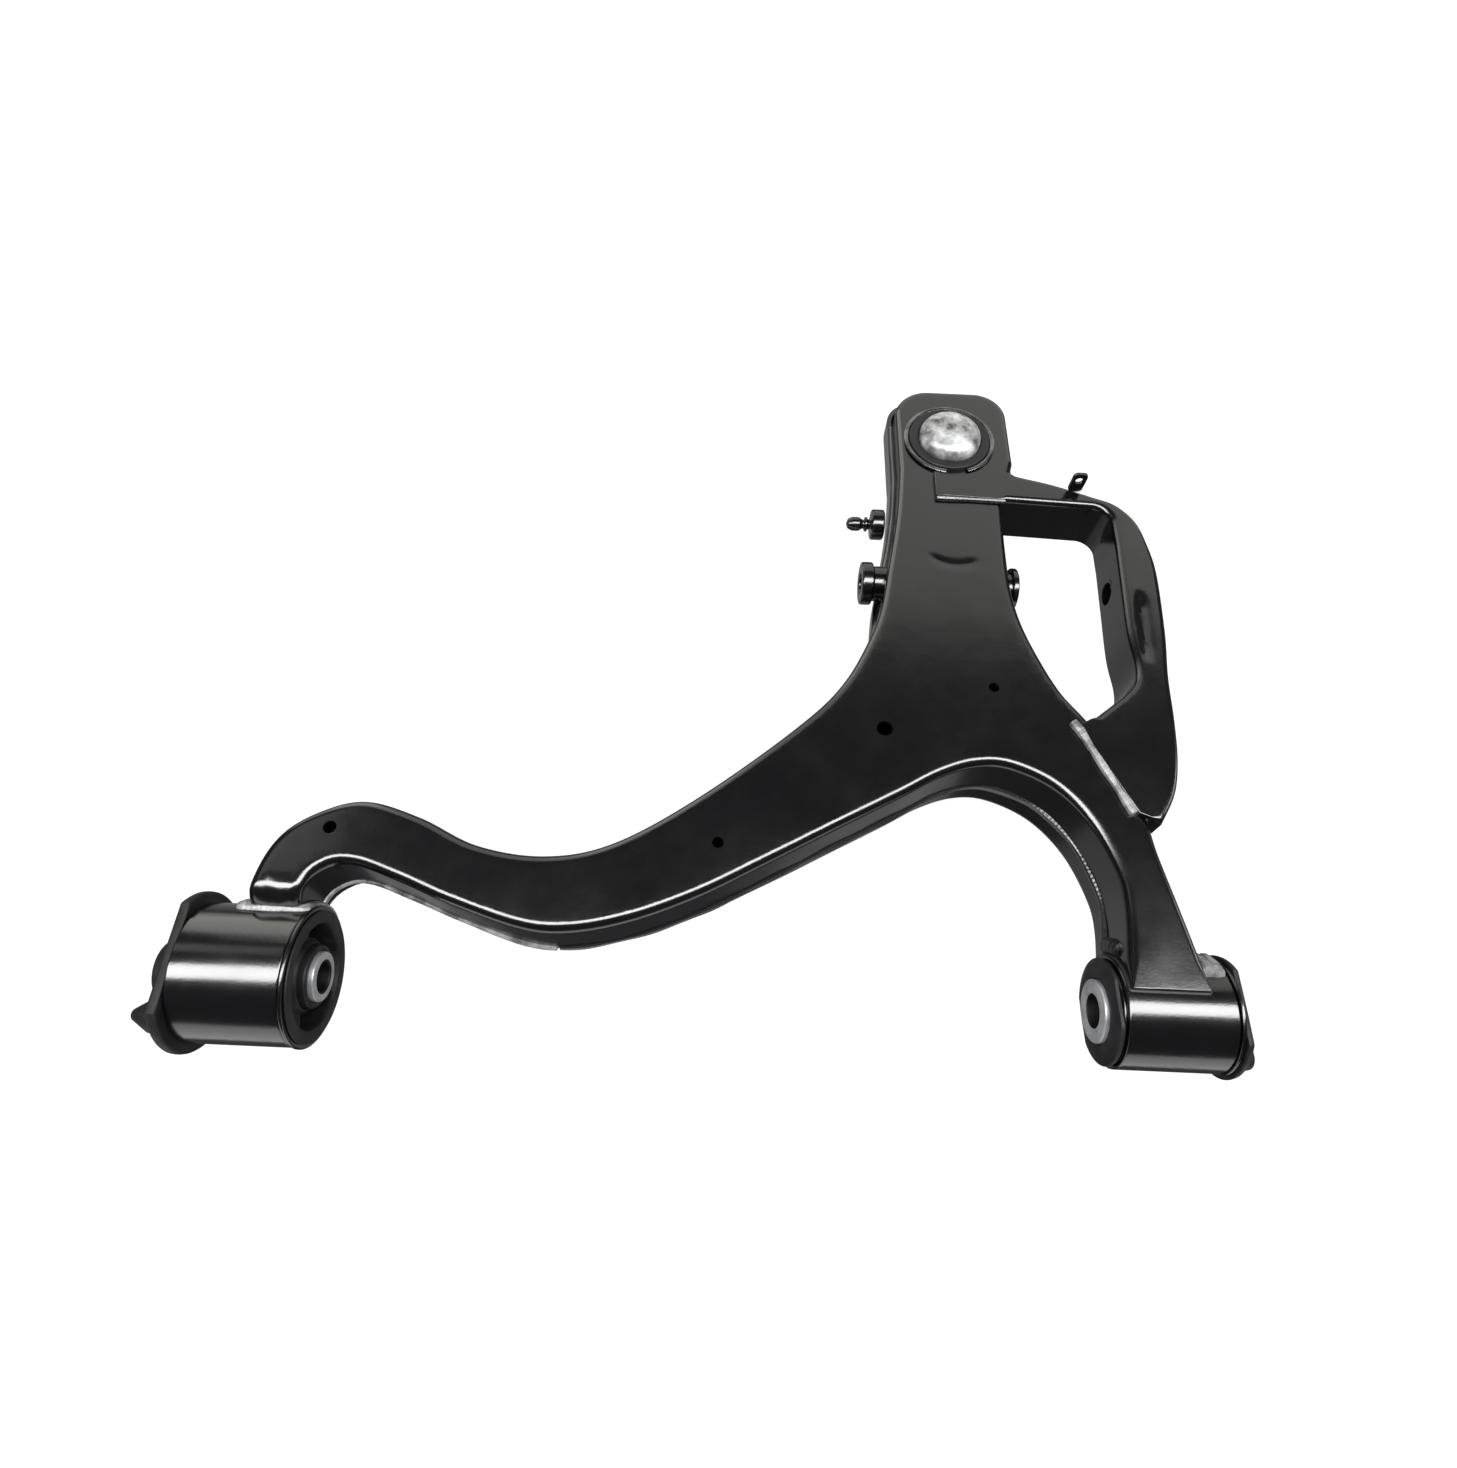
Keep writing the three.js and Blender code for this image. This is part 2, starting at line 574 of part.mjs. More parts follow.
export default arm;
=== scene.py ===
"""Looks of a front lower control arm: pressed and welded shells, bushes and a ball joint.

Shapes are worked out in millimetres in the arm's design axes, x along the hinge axis, y outboard
and z up, with the hinge axis at y = 0, z = 0. place() turns them into the frame's metres.
"""

import math

import bmesh
import bpy
import numpy as np
from mathutils import Matrix, Vector
from mathutils.geometry import delaunay_2d_cdt


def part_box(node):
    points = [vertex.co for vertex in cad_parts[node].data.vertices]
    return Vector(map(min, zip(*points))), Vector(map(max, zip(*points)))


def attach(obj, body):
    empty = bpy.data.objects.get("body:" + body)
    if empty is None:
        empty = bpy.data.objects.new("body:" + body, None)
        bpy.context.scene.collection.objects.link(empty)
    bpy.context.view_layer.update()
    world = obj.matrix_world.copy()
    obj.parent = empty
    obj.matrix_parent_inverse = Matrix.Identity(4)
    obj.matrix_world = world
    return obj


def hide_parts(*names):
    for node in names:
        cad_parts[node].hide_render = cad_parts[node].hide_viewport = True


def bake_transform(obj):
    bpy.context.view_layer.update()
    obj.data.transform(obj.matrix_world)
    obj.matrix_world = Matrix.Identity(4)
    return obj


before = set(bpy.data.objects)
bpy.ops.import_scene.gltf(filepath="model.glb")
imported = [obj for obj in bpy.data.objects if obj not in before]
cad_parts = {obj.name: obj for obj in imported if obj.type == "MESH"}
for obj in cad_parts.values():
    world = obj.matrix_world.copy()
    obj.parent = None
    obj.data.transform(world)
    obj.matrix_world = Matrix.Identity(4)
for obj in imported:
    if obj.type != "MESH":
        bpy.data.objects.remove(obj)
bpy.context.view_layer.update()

MM = 0.001
GAP = 0.3
SHEET = 3.0  # pressed sheet
SLIP = 0.05  # play between a shell and what it is welded to
OUTLINE_STEP = 3.0  # spacing of the points along an outline
UP = (0.0, 0.0, 1.0)

# ---------------------------------------------------------------- driving dimensions, mm
TOP_Z = 31.0
UPPER_RIM_Z = 1.3
UPPER_NECK_RIM_Z = -1.0
LOWER_LEG_RIM_Z = 12.0
LOWER_HUB_RIM_Z = 0.7
LOWER_NECK_RIM_Z = 15.0
LEG_LAP_Y = 190.0
NECK_LAP_Y = 250.0
LAP_INSET = SHEET + GAP
LEG_FLOOR_Z = -18.0
HUB_FLOOR_Z = -28.0
TOP_FILLET = 5.0
REAR_DIP = 12.0
FLOOR_FILLET = 7.0

NECK_LEFT = 102.0
NECK_RIGHT = 173.0
END_RIGHT = 185.0
END_Y = 418.0

BALL_X = 139.5
BALL_Y = 366.0
BALL_Z = 4.0
BALL_R = 15.0
HOUSING_R = 27.0
COVER_R = 20.5

DAMPER_Y = 258.0
DAMPER_Z = 12.0
DAMPER_BORE = 7.2
TUBE_R = 11.0
TUBE_X0 = 86.8
TUBE_X1 = 177.0
NUT_R = 13.5
NUT_BORE_R = 6.2
NUT_LENGTH = 7.5

REAR_R = 35.0
REAR_WALL = 3.5
REAR_X0 = -263.0
REAR_X1 = -209.0
FRONT_R = 28.0
FRONT_WALL = 3.0
FRONT_X0 = 200.0
FRONT_X1 = 254.0
BOLT_R = 8.5
SLEEVE_R = 16.0

BRACE_TOP_Z = TOP_Z + GAP + SHEET

# The design axes' origin in the frame: on the hinge axis, from the rear bush's housing.
rear_low, rear_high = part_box("rear_bush_housing")
ORIGIN = Vector((
    rear_low.x - REAR_X0 * MM,
    (rear_low.y + rear_high.y) / 2,
    (rear_low.z + rear_high.z) / 2,
))


def place(point):
    """A design point in mm as a frame point in metres."""
    return ORIGIN + Vector(point) * MM


# ---------------------------------------------------------------- curves in plan
def spline(places, step=OUTLINE_STEP):
    """Evenly spaced points along a smooth curve through the given places."""
    p = np.array(places, float)
    last = len(p) - 1
    fine = []
    for t in np.linspace(0, last, 24 * last + 1):
        i = min(int(t), last - 1)
        w = t - i
        a, b, c, d = p[max(i - 1, 0)], p[i], p[i + 1], p[min(i + 2, last)]
        tangent_b = (c - a) / 2
        tangent_c = (d - b) / 2
        bend = (2 * b - 2 * c + tangent_b + tangent_c) * w ** 3
        bow = (-3 * b + 3 * c - 2 * tangent_b - tangent_c) * w ** 2
        fine.append(bend + bow + tangent_b * w + b)
    return resample(fine, step)


def resample(points, step):
    """Points along a polyline, one about every step."""
    p = np.array(points, float)
    run = np.concatenate([[0], np.cumsum(np.linalg.norm(np.diff(p, axis=0), axis=1))])
    count = max(2, int(round(run[-1] / step)) + 1)
    at = np.linspace(0, run[-1], count)
    return np.stack([np.interp(at, run, p[:, k]) for k in range(p.shape[1])], axis=1)


def arc(x, y, radius, start, end, count=16):
    """Points along an arc, from start to end in degrees."""
    angles = np.radians(np.linspace(start, end, count + 1))
    return np.stack([x + radius * np.cos(angles), y + radius * np.sin(angles)], axis=1)


def closed(parts, step=OUTLINE_STEP):
    """One closed outline from its parts, with no gap longer than about a step."""
    points = np.concatenate([np.array(p, float).reshape(-1, 2) for p in parts])
    filled = []
    for a, b in zip(points, np.roll(points, -1, axis=0)):
        distance = np.linalg.norm(b - a)
        if distance < 0.4:
            continue
        cuts = max(1, int(distance / (1.5 * step)))
        filled.extend(a + (b - a) * k / cuts for k in range(cuts))
    return np.array(filled)


def directions(outline):
    """Unit vectors into and out of each point of a closed outline."""
    before = outline - np.roll(outline, 1, axis=0)
    after = np.roll(outline, -1, axis=0) - outline
    before /= np.linalg.norm(before, axis=1, keepdims=True)
    after /= np.linalg.norm(after, axis=1, keepdims=True)
    return before, after


SHARP_TURN = math.radians(35)


def clear_corners(outline, reach):
    """Leaves out the points within reach of a sharp corner, so that insets don't cross there."""
    before, after = directions(outline)
    sharp = np.sum(before * after, axis=1) < math.cos(SHARP_TURN)
    keep = np.ones(len(outline), bool)
    for corner in outline[sharp]:
        keep &= np.linalg.norm(outline - corner, axis=1) > reach
    return outline[keep | sharp]


def inward(outline):
    """For each point of a clockwise outline, the step inwards that offsets it by 1 mm."""
    before, after = directions(outline)
    n1 = np.stack([before[:, 1], -before[:, 0]], axis=1)
    n2 = np.stack([after[:, 1], -after[:, 0]], axis=1)
    mitre = n1 + n2
    mitre /= np.maximum(np.linalg.norm(mitre, axis=1, keepdims=True), 1e-6)
    stretch = np.maximum(np.sum(mitre * n1, axis=1, keepdims=True), 0.5)
    return mitre / stretch


def smoothstep(x, start, end):
    """Rises smoothly from 0 at start to 1 at end."""
    t = np.clip((np.asarray(x, float) - start) / (end - start), 0, 1)
    return t * t * (3 - 2 * t)


# ---------------------------------------------------------------- the arm's plan
LEFT_EDGE = [
    (-238.7, 0), (-238.7, 40), (-231, 65), (-213, 80), (-190, 86.7), (-160, 78.8), (-128, 64.8),
    (-92, 60.7), (-57.5, 69.5), (-15, 97.5), (37, 142), (65, 173.5), (82.5, 211), (90, 253),
    (98, 300), (NECK_LEFT, 340),
]
RIGHT_EDGE = [
    (END_RIGHT, 350), (181, 335), (175, 318), (NECK_RIGHT, 290), (NECK_RIGHT, 240),
    (177.5, 207), (189.5, 175), (207, 148), (224, 105), (229, 75), (235, 45), (240, 18), (241, 5),
]
ARCH_EDGE = [
    (203, 20), (206.5, 47), (205, 66), (195, 92), (178, 112), (155, 123), (136, 123),
    (116, 115.5), (95, 103), (60, 83), (22, 61), (-12, 42), (-45, 28), (-75, 21), (-100, 22),
    (-137, 33), (-163, 43), (-188, 51), (-203, 49), (-212, 36), (-214, 0),
]


def outermost(left_corner):
    """The plan of the arm over both shells, clockwise."""
    right_corner = 25.0
    outline = closed([
        spline(LEFT_EDGE),
        arc(NECK_LEFT + left_corner, END_Y - left_corner, left_corner, 180, 90),
        arc(END_RIGHT - right_corner, END_Y - right_corner, right_corner, 90, 0),
        spline(RIGHT_EDGE),
        [(202, 5)],
        spline(ARCH_EDGE),
    ])
    return clear_corners(outline, reach=13.0)


def shell_outline(leg_inset, neck_inset, left_corner):
    """A shell's plan: the inset changes from the legs to the neck."""
    outline = outermost(left_corner)
    share = smoothstep(outline[:, 1], LEG_LAP_Y, NECK_LAP_Y)[:, None]
    return outline + inward(outline) * (leg_inset + (neck_inset - leg_inset) * share)


# ---------------------------------------------------------------- mesh building
def new_object(name, vertices, faces):
    """An object from design points in mm, with its faces pointing out."""
    data = bpy.data.meshes.new(name)
    placed = np.array(vertices, float) * MM + np.array(ORIGIN)
    data.from_pydata(placed.tolist(), [], faces)
    work = bmesh.new()
    work.from_mesh(data)
    bmesh.ops.recalc_face_normals(work, faces=work.faces)
    work.to_mesh(data)
    work.free()
    data.update()
    obj = bpy.data.objects.new(name, data)
    bpy.context.scene.collection.objects.link(obj)
    return obj


def settle(obj):
    """Applies the object's modifiers."""
    bpy.context.view_layer.update()
    depsgraph = bpy.context.evaluated_depsgraph_get()
    data = bpy.data.meshes.new_from_object(obj.evaluated_get(depsgraph))
    obj.modifiers.clear()
    obj.data = data


def boolean(obj, cutters, operation="DIFFERENCE"):
    for cutter in cutters:
        modifier = obj.modifiers.new("cut", "BOOLEAN")
        modifier.operation = operation
        modifier.solver = "EXACT"
        modifier.object = cutter
        settle(obj)
    for cutter in cutters:
        bpy.data.objects.remove(cutter)


def shade(obj, angle=32.0):
    """Smooth shading with crisp edges, weighted so that flat faces stay flat."""
    obj.data.shade_smooth()
    obj.data.set_sharp_from_angle(angle=math.radians(angle))
    modifier = obj.modifiers.new("normals", "WEIGHTED_NORMAL")
    modifier.keep_sharp = True
    settle(obj)


def finish_piece(obj, body, material, nodes=()):
    """Shades a piece and puts it on its body, in place of the nodes."""
    shade(obj)
    obj.data.materials.clear()
    obj.data.materials.append(material)
    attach(obj, body)
    if nodes:
        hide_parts(*nodes)
    return obj


def inside_polygon(points, polygon):
    """Which points lie inside a closed polygon."""
    x, y = points[:, 0], points[:, 1]
    inside = np.zeros(len(points), bool)
    for (x0, y0), (x1, y1) in zip(polygon, np.roll(polygon, -1, axis=0)):
        if y0 == y1:
            continue
        crosses = (y0 > y) != (y1 > y)
        inside ^= crosses & (x < (x1 - x0) * (y - y0) / (y1 - y0) + x0)
    return inside


def cap_faces(ring, height, step=6.0, detail=None):
    """Triangles that fill a ring of plan points. Returns the extra vertices, and faces whose
    corners are ("ring", place in the ring) or ("extra", place in the extra vertices). detail is
    a patch with a finer grid: its x range, its y range and the grid's spacing."""
    low = ring.min(axis=0)
    high = ring.max(axis=0)
    grid = np.stack(np.meshgrid(
        np.arange(low[0] + step / 2, high[0], step),
        np.arange(low[1] + step / 2, high[1], step),
    ), axis=-1).reshape(-1, 2)
    if detail is not None:
        x0, x1, y0, y1, fine = detail
        outside = (grid[:, 0] < x0) | (grid[:, 0] > x1) | (grid[:, 1] < y0) | (grid[:, 1] > y1)
        dense = np.stack(np.meshgrid(
            np.arange(x0, x1, fine), np.arange(y0, y1, fine)), axis=-1).reshape(-1, 2)
        grid = np.concatenate([grid[outside], dense])
    grid = grid[inside_polygon(grid, ring)]
    clear = [np.min(np.sum((ring - p) ** 2, axis=1)) > (0.6 * OUTLINE_STEP) ** 2 for p in grid]
    grid = grid[np.array(clear, bool)]
    points = [Vector(p) for p in np.concatenate([ring, grid])]
    count = len(ring)
    edges = [(i, (i + 1) % count) for i in range(count)]
    made, _, faces, origin, _, _ = delaunay_2d_cdt(points, edges, [], 1, 1e-5)
    extra = []
    index = {}
    for i, sources in enumerate(origin):
        ours = [s for s in sources if s < count]
        if ours:
            index[i] = ("ring", ours[0])
        else:
            index[i] = ("extra", len(extra))
            extra.append((made[i].x, made[i].y, float(height(made[i].x, made[i].y))))
    return extra, [[index[i] for i in face] for face in faces]


MIN_FILLET = 0.12
RIM_CLEAR = 0.05


def pressing(name, outline, rim, cap, fillet, up, detail=None):
    """A pressed sheet: a face at height cap(x, y) with a rounded edge, and walls that reach to
    the height rim(x, y). fillet is the outer radius at each outline point; up is 1 for a face
    on top and -1 for a face below."""
    steps = 6
    normal = inward(outline)
    fillet = np.broadcast_to(np.asarray(fillet, float), len(outline))
    inner_fillet = np.maximum(fillet - SHEET, MIN_FILLET)
    rim_level = rim(outline[:, 0], outline[:, 1])
    vertices = []
    faces = []

    def ring(offset, lift):
        plan = outline + normal * np.asarray(offset, float).reshape(-1, 1)
        level = cap(plan[:, 0], plan[:, 1]) - up * lift
        vertices.extend(np.column_stack([plan, level]).tolist())
        return plan

    def rim_ring(offset):
        plan = outline + normal * offset
        least = cap(plan[:, 0], plan[:, 1]) - up * (SHEET + inner_fillet + RIM_CLEAR)
        level = np.minimum(rim_level, least) if up > 0 else np.maximum(rim_level, least)
        vertices.extend(np.column_stack([plan, level]).tolist())

    def join(a, b):
        count = len(outline)
        for i in range(count):
            j = (i + 1) % count
            faces.append([a + i, a + j, b + j, b + i])

    def skin(offset, thickness, radius):
        first = len(vertices)
        rim_ring(offset)
        for k in range(steps + 1):
            angle = math.pi / 2 * k / steps
            plan = ring(offset + radius * (1 - math.cos(angle)),
                        thickness + radius * (1 - math.sin(angle)))
            start = len(vertices) - len(outline)
            join(start - len(outline), start)
        top = len(vertices) - len(outline)
        extra, triangles = cap_faces(
            plan, lambda x, y: cap(x, y) - up * thickness, detail=detail)
        base = len(vertices)
        vertices.extend(extra)
        for triangle in triangles:
            faces.append([top + i if kind == "ring" else base + i for kind, i in triangle])
        return first

    outside = skin(0.0, 0.0, fillet)
    within = skin(SHEET, SHEET, inner_fillet)
    join(outside, within)
    return new_object(name, vertices, faces)


def rounded(profile, radius=0.8, steps=4):
    """A profile, open or closed on itself, with its corners rounded."""
    p = [np.array(q, float) for q in profile]
    loop = np.allclose(p[0], p[-1])
    if loop:
        p = p[:-1]
    out = []
    for i, corner in enumerate(p):
        if not loop and i in (0, len(p) - 1):
            out.append(corner)
            continue
        a = p[i - 1] - corner
        b = p[(i + 1) % len(p)] - corner
        la, lb = np.linalg.norm(a), np.linalg.norm(b)
        a, b = a / la, b / lb
        turn = math.pi - math.acos(float(np.clip(a @ b, -1, 1)))
        if turn < math.radians(20):
            out.append(corner)
            continue
        reach = min(radius * math.tan(turn / 2), 0.42 * la, 0.42 * lb)
        for k in range(steps + 1):
            t = k / steps
            out.append(corner + a * reach * (1 - t) ** 2 + b * reach * t ** 2)
    if loop:
        out.append(out[0])
    return np.array(out)


def lathe(name, profile, axis, centre=(0.0, 0.0, 0.0), segments=96, swell=None):
    """A turned piece: profile points are (radius, distance along the axis). swell(radius,
    angle) gives the radius to use there instead, for flats."""
    profile = np.array(profile, float)
    loop = np.allclose(profile[0], profile[-1])
    if loop:
        profile = profile[:-1]
    vertices = []
    rows = []
    for r, along in profile:
        on_axis = r < 1e-6
        row = []
        for k in range(1 if on_axis else segments):
            angle = 2 * math.pi * k / segments
            radius = r if swell is None else swell(r, angle)
            side = radius * math.cos(angle)
            rise = radius * math.sin(angle)
            row.append(len(vertices))
            local = (along, side, rise) if axis == "x" else (side, rise, along)
            vertices.append(np.array(local) + np.array(centre))
        rows.append(row)
    faces = []
    pairs = list(zip(rows, rows[1:]))
    if loop:
        pairs.append((rows[-1], rows[0]))
    for a, b in pairs:
        if len(a) == 1 and len(b) == 1:
            continue
        for k in range(segments):
            j = (k + 1) % segments
            corners = [a[k % len(a)], a[j % len(a)], b[j % len(b)], b[k % len(b)]]
            faces.append(list(dict.fromkeys(corners)))
    return new_object(name, vertices, faces)


def ring_profile(inner, outer, a, b):
    """The profile of a plain ring from a to b along its axis."""
    return [(inner, a), (outer, a), (outer, b), (inner, b), (inner, a)]


def bar(radius, x0, x1, y=0.0, z=0.0, segments=64):
    return lathe("cutter", [(0, x0), (radius, x0), (radius, x1), (0, x1)], "x", (0, y, z), segments)


def post(radius, x, y, z0, z1, segments=48):
    return lathe("cutter", [(0, z0), (radius, z0), (radius, z1), (0, z1)], "z", (x, y, 0), segments)


def prism(name, near, far):
    """A solid between two matching rings of points, with flat ends."""
    count = len(near)
    faces = [list(range(count)), list(range(count, 2 * count))]
    faces += [[i, (i + 1) % count, count + (i + 1) % count, count + i] for i in range(count)]
    return new_object(name, [*near, *far], faces)


def sweep(name, path, up, radius, scale=None, ring=10, loop=False, flatten=1.0):
    """A tube along a path. up gives a direction at each point that is never along the path."""
    path = np.array(path, float)
    up = np.broadcast_to(np.array(up, float), path.shape)
    if loop:
        tangent = np.roll(path, -1, axis=0) - np.roll(path, 1, axis=0)
    else:
        tangent = np.gradient(path, axis=0)
    tangent /= np.linalg.norm(tangent, axis=1, keepdims=True)
    side = np.cross(tangent, up)
    side /= np.linalg.norm(side, axis=1, keepdims=True)
    top = np.cross(side, tangent)
    size = np.full(len(path), float(radius)) * (1.0 if scale is None else scale)
    vertices = []
    for k in range(ring):
        angle = 2 * math.pi * k / ring
        vertices.append(path + (side * math.cos(angle) + top * math.sin(angle) * flatten)
                        * size[:, None])
    vertices = np.stack(vertices, axis=1).reshape(-1, 3)
    faces = []
    rows = len(path)
    for i in range(rows if loop else rows - 1):
        j = (i + 1) % rows
        for k in range(ring):
            m = (k + 1) % ring
            faces.append([i * ring + k, i * ring + m, j * ring + m, j * ring + k])
    if not loop:
        faces.append(list(range(ring)))
        faces.append([(rows - 1) * ring + k for k in range(ring)])
    return new_object(name, vertices.tolist(), faces)


PER_RIPPLE = 4
TAIL = 0.45  # width of a bead's ends, as a share


def ripple(count, least, rise):
    """The scallops that each weld puddle leaves: the bead's width at each point, as a share."""
    phase = (count % PER_RIPPLE + 0.5) / PER_RIPPLE
    return least + rise * np.sqrt(np.sin(math.pi * phase))


def weld(name, path, radius, pitch=2.6):
    """A weld bead seen from above: a scalloped tube with a slightly uneven width."""
    path = resample(path, pitch / PER_RIPPLE)
    count = np.arange(len(path))
    drift = 1 + 0.10 * np.sin(count * 0.113) + 0.08 * np.sin(count * 0.041 + 1.3)
    scale = ripple(count, 0.965, 0.06) * drift
    scale[[0, -1]] *= TAIL
    return sweep(name, path, UP, radius, scale)


# ---------------------------------------------------------------- materials
def principled(name, colour, roughness, metallic=0.0, ior=1.5, specular=0.5):
    material = bpy.data.materials.new(name)
    material.use_nodes = True
    shader = material.node_tree.nodes["Principled BSDF"]
    shader.inputs["Base Color"].default_value = (*colour, 1.0)
    shader.inputs["Roughness"].default_value = roughness
    shader.inputs["Metallic"].default_value = metallic
    shader.inputs["IOR"].default_value = ior
    shader.inputs["Specular IOR Level"].default_value = specular
    return material, shader


class Nodes:
    """Short calls for building a material's node tree."""

    def __init__(self, material):
        self.tree = material.node_tree
        self.coords = self.tree.nodes.new("ShaderNodeTexCoord").outputs["Object"]

    def link(self, source, target):
        self.tree.links.new(source, target)

    def noise(self, scale, detail, rough):
        node = self.tree.nodes.new("ShaderNodeTexNoise")
        node.inputs["Scale"].default_value = scale
        node.inputs["Detail"].default_value = detail
        node.inputs["Roughness"].default_value = rough
        self.link(self.coords, node.inputs["Vector"])
        return node.outputs["Fac"]

    def ramp(self, source, stops):
        node = self.tree.nodes.new("ShaderNodeValToRGB")
        elements = node.color_ramp.elements
        while len(elements) < len(stops):
            elements.new(0.5)
        for element, (position, colour) in zip(elements, stops):
            element.position = position
            if np.ndim(colour) == 0:
                colour = (colour, colour, colour)
            element.color = (*colour, 1.0)
        self.link(source, node.inputs["Fac"])
        return node.outputs["Color"]

    def bump(self, source, strength, distance, after=None):
        node = self.tree.nodes.new("ShaderNodeBump")
        node.inputs["Strength"].default_value = strength
        node.inputs["Distance"].default_value = distance
        self.link(source, node.inputs["Height"])
        if after is not None:
            self.link(after, node.inputs["Normal"])
        return node.outputs["Normal"]


def paint_material(name="black_coat", low=(0.0008, 0.0008, 0.0010), high=(0.0016, 0.0016, 0.0019),
                   smooth=0.15, rough=0.21, orange=0.08, specular=0.5):
    """Black electrocoat over pressed steel: faint orange peel, soft cloudy gloss and dust."""
    material, shader = principled(name, low, smooth, ior=1.66, specular=specular)
    n = Nodes(material)
    cloud = n.noise(14.0, 5.0, 0.6)
    n.link(n.ramp(cloud, [(0.3, low), (0.75, high)]), shader.inputs["Base Color"])
    haze = n.noise(38.0, 6.0, 0.65)
    n.link(n.ramp(haze, [(0.32, smooth), (0.72, rough)]), shader.inputs["Roughness"])
    peel = n.bump(n.noise(900.0, 3.0, 0.5), orange, 0.0004)
    waviness = n.bump(n.noise(45.0, 2.0, 0.4), 0.12, 0.0012, peel)
    grit = n.noise(2600.0, 2.0, 0.5)
    n.link(n.bump(n.ramp(grit, [(0.70, 0.0), (0.78, 1.0)]), 0.12, 0.0003, waviness),
           shader.inputs["Normal"])
    return material


def metal_material(name, low, high, smooth, rough, patches, metallic=1.0):
    """Bright steel or zinc, with cloudy patches in its plating and fine tool marks."""
    material, shader = principled(name, low, smooth, metallic)
    n = Nodes(material)
    cloud = n.noise(patches, 5.0, 0.62)
    n.link(n.ramp(cloud, [(0.36, low), (0.62, high)]), shader.inputs["Base Color"])
    n.link(n.ramp(n.noise(patches * 2.3, 4.0, 0.6), [(0.3, smooth), (0.7, rough)]),
           shader.inputs["Roughness"])
    n.link(n.bump(n.noise(700.0, 3.0, 0.6), 0.16, 0.0004), shader.inputs["Normal"])
    return material


def rubber_material():
    """Moulded rubber: dull, slightly grey, with a fine matt grain."""
    low, high = (0.002, 0.002, 0.0024), (0.008, 0.008, 0.009)
    material, shader = principled("rubber", low, 0.6, specular=0.22)
    n = Nodes(material)
    n.link(n.ramp(n.noise(60.0, 6.0, 0.65), [(0.3, low), (0.75, high)]),
           shader.inputs["Base Color"])
    n.link(n.ramp(n.noise(110.0, 4.0, 0.6), [(0.3, 0.42), (0.7, 0.62)]),
           shader.inputs["Roughness"])
    n.link(n.bump(n.noise(1500.0, 3.0, 0.6), 0.25, 0.0004), shader.inputs["Normal"])
    return material


def liner_material():
    """Acetal: smooth, cream and slightly cloudy."""
    low, high = (0.66, 0.63, 0.56), (0.76, 0.74, 0.68)
    material, shader = principled("acetal", low, 0.42)
    n = Nodes(material)
    n.link(n.ramp(n.noise(80.0, 4.0, 0.5), [(0.3, low), (0.7, high)]),
           shader.inputs["Base Color"])
    n.link(n.ramp(n.noise(200.0, 4.0, 0.5), [(0.3, 0.36), (0.7, 0.5)]),
           shader.inputs["Roughness"])
    n.link(n.bump(n.noise(900.0, 2.0, 0.5), 0.1, 0.0003), shader.inputs["Normal"])
    return material


PAINT = paint_material()
PHOSPHATE = paint_material("phosphated_steel", (0.003, 0.003, 0.0034), (0.010, 0.010, 0.011),
                           0.42, 0.56, 0.2, specular=0.2)
BEAD = paint_material("coated_weld", (0.003, 0.003, 0.0034), (0.008, 0.008, 0.009), 0.2, 0.3, 0.2)
SPATTER = metal_material("bright_weld", (0.05, 0.05, 0.05), (0.2, 0.2, 0.2), 0.35, 0.55, 120.0,
                         metallic=0.3)
STEEL = metal_material("turned_steel", (0.20, 0.20, 0.21), (0.34, 0.35, 0.36), 0.34, 0.46, 60.0,
                       metallic=0.7)
# Near-black steel for the bushes' bores: its darkness is painted shade inside the holes.
BORE_SHADE = metal_material("bore_painted_shade", (0.015, 0.015, 0.016), (0.04, 0.04, 0.042), 0.5, 0.7, 60.0)
SPRING = metal_material("spring_steel", (0.10, 0.10, 0.10), (0.22, 0.22, 0.23), 0.2, 0.34, 90.0)
ZINC = metal_material("zinc_plate", (0.05, 0.05, 0.05), (0.52, 0.53, 0.52), 0.34, 0.5, 58.0,
                      metallic=0.55)
RUBBER = rubber_material()
LINER = liner_material()


# ---------------------------------------------------------------- pressed shells
CREASE_X = 119.0
CREASE_Y = 267.0
CREASE_LENGTH = 33.0
CREASE_BOW = 5.0
CREASE_FALL = 2.0
CREASE_DEPTH = 0.6
CREASE_WIDTH = 3.2
CREASE_FADE_IN = (117, 126)
CREASE_FADE_OUT = (144, 154)
CREASE_DETAIL = (112, 160, 250, 280, 1.6)


def crease(x, y):
    """A shallow pressed step across the top of the neck."""
    along = np.clip((np.asarray(x, float) - CREASE_X) / CREASE_LENGTH, 0, 1)
    line = CREASE_Y - CREASE_BOW * np.sin(math.pi * along) - CREASE_FALL * along
    distance = np.asarray(y, float) - line
    window = smoothstep(x, *CREASE_FADE_IN) * (1 - smoothstep(x, *CREASE_FADE_OUT))
    return -CREASE_DEPTH * window * np.exp(-(distance / CREASE_WIDTH) ** 2)


REAR_DIP_X = (-205, -190)
REAR_DIP_Y = (23, 38)


def top_height(x, y):
    """The top face is flat, but for the crease and its dip down to the rear bush's sleeve."""
    rear = 1 - smoothstep(x, *REAR_DIP_X)
    dip = REAR_DIP * rear * (1 - smoothstep(y, *REAR_DIP_Y))
    return TOP_Z + crease(x, y) - dip


def floor_height(x, y):
    """The lower shell's floor, deepest under the hub."""
    along_x = np.interp(x, [-300, -70, -20, 40, 300], [LEG_FLOOR_Z, LEG_FLOOR_Z, -23, HUB_FLOOR_Z,
                                                     HUB_FLOOR_Z])
    along_y = np.interp(y, [-60, 165, 225, 310, 460], [HUB_FLOOR_Z, HUB_FLOOR_Z, -20, -6, -6])
    return np.maximum(along_x, along_y)


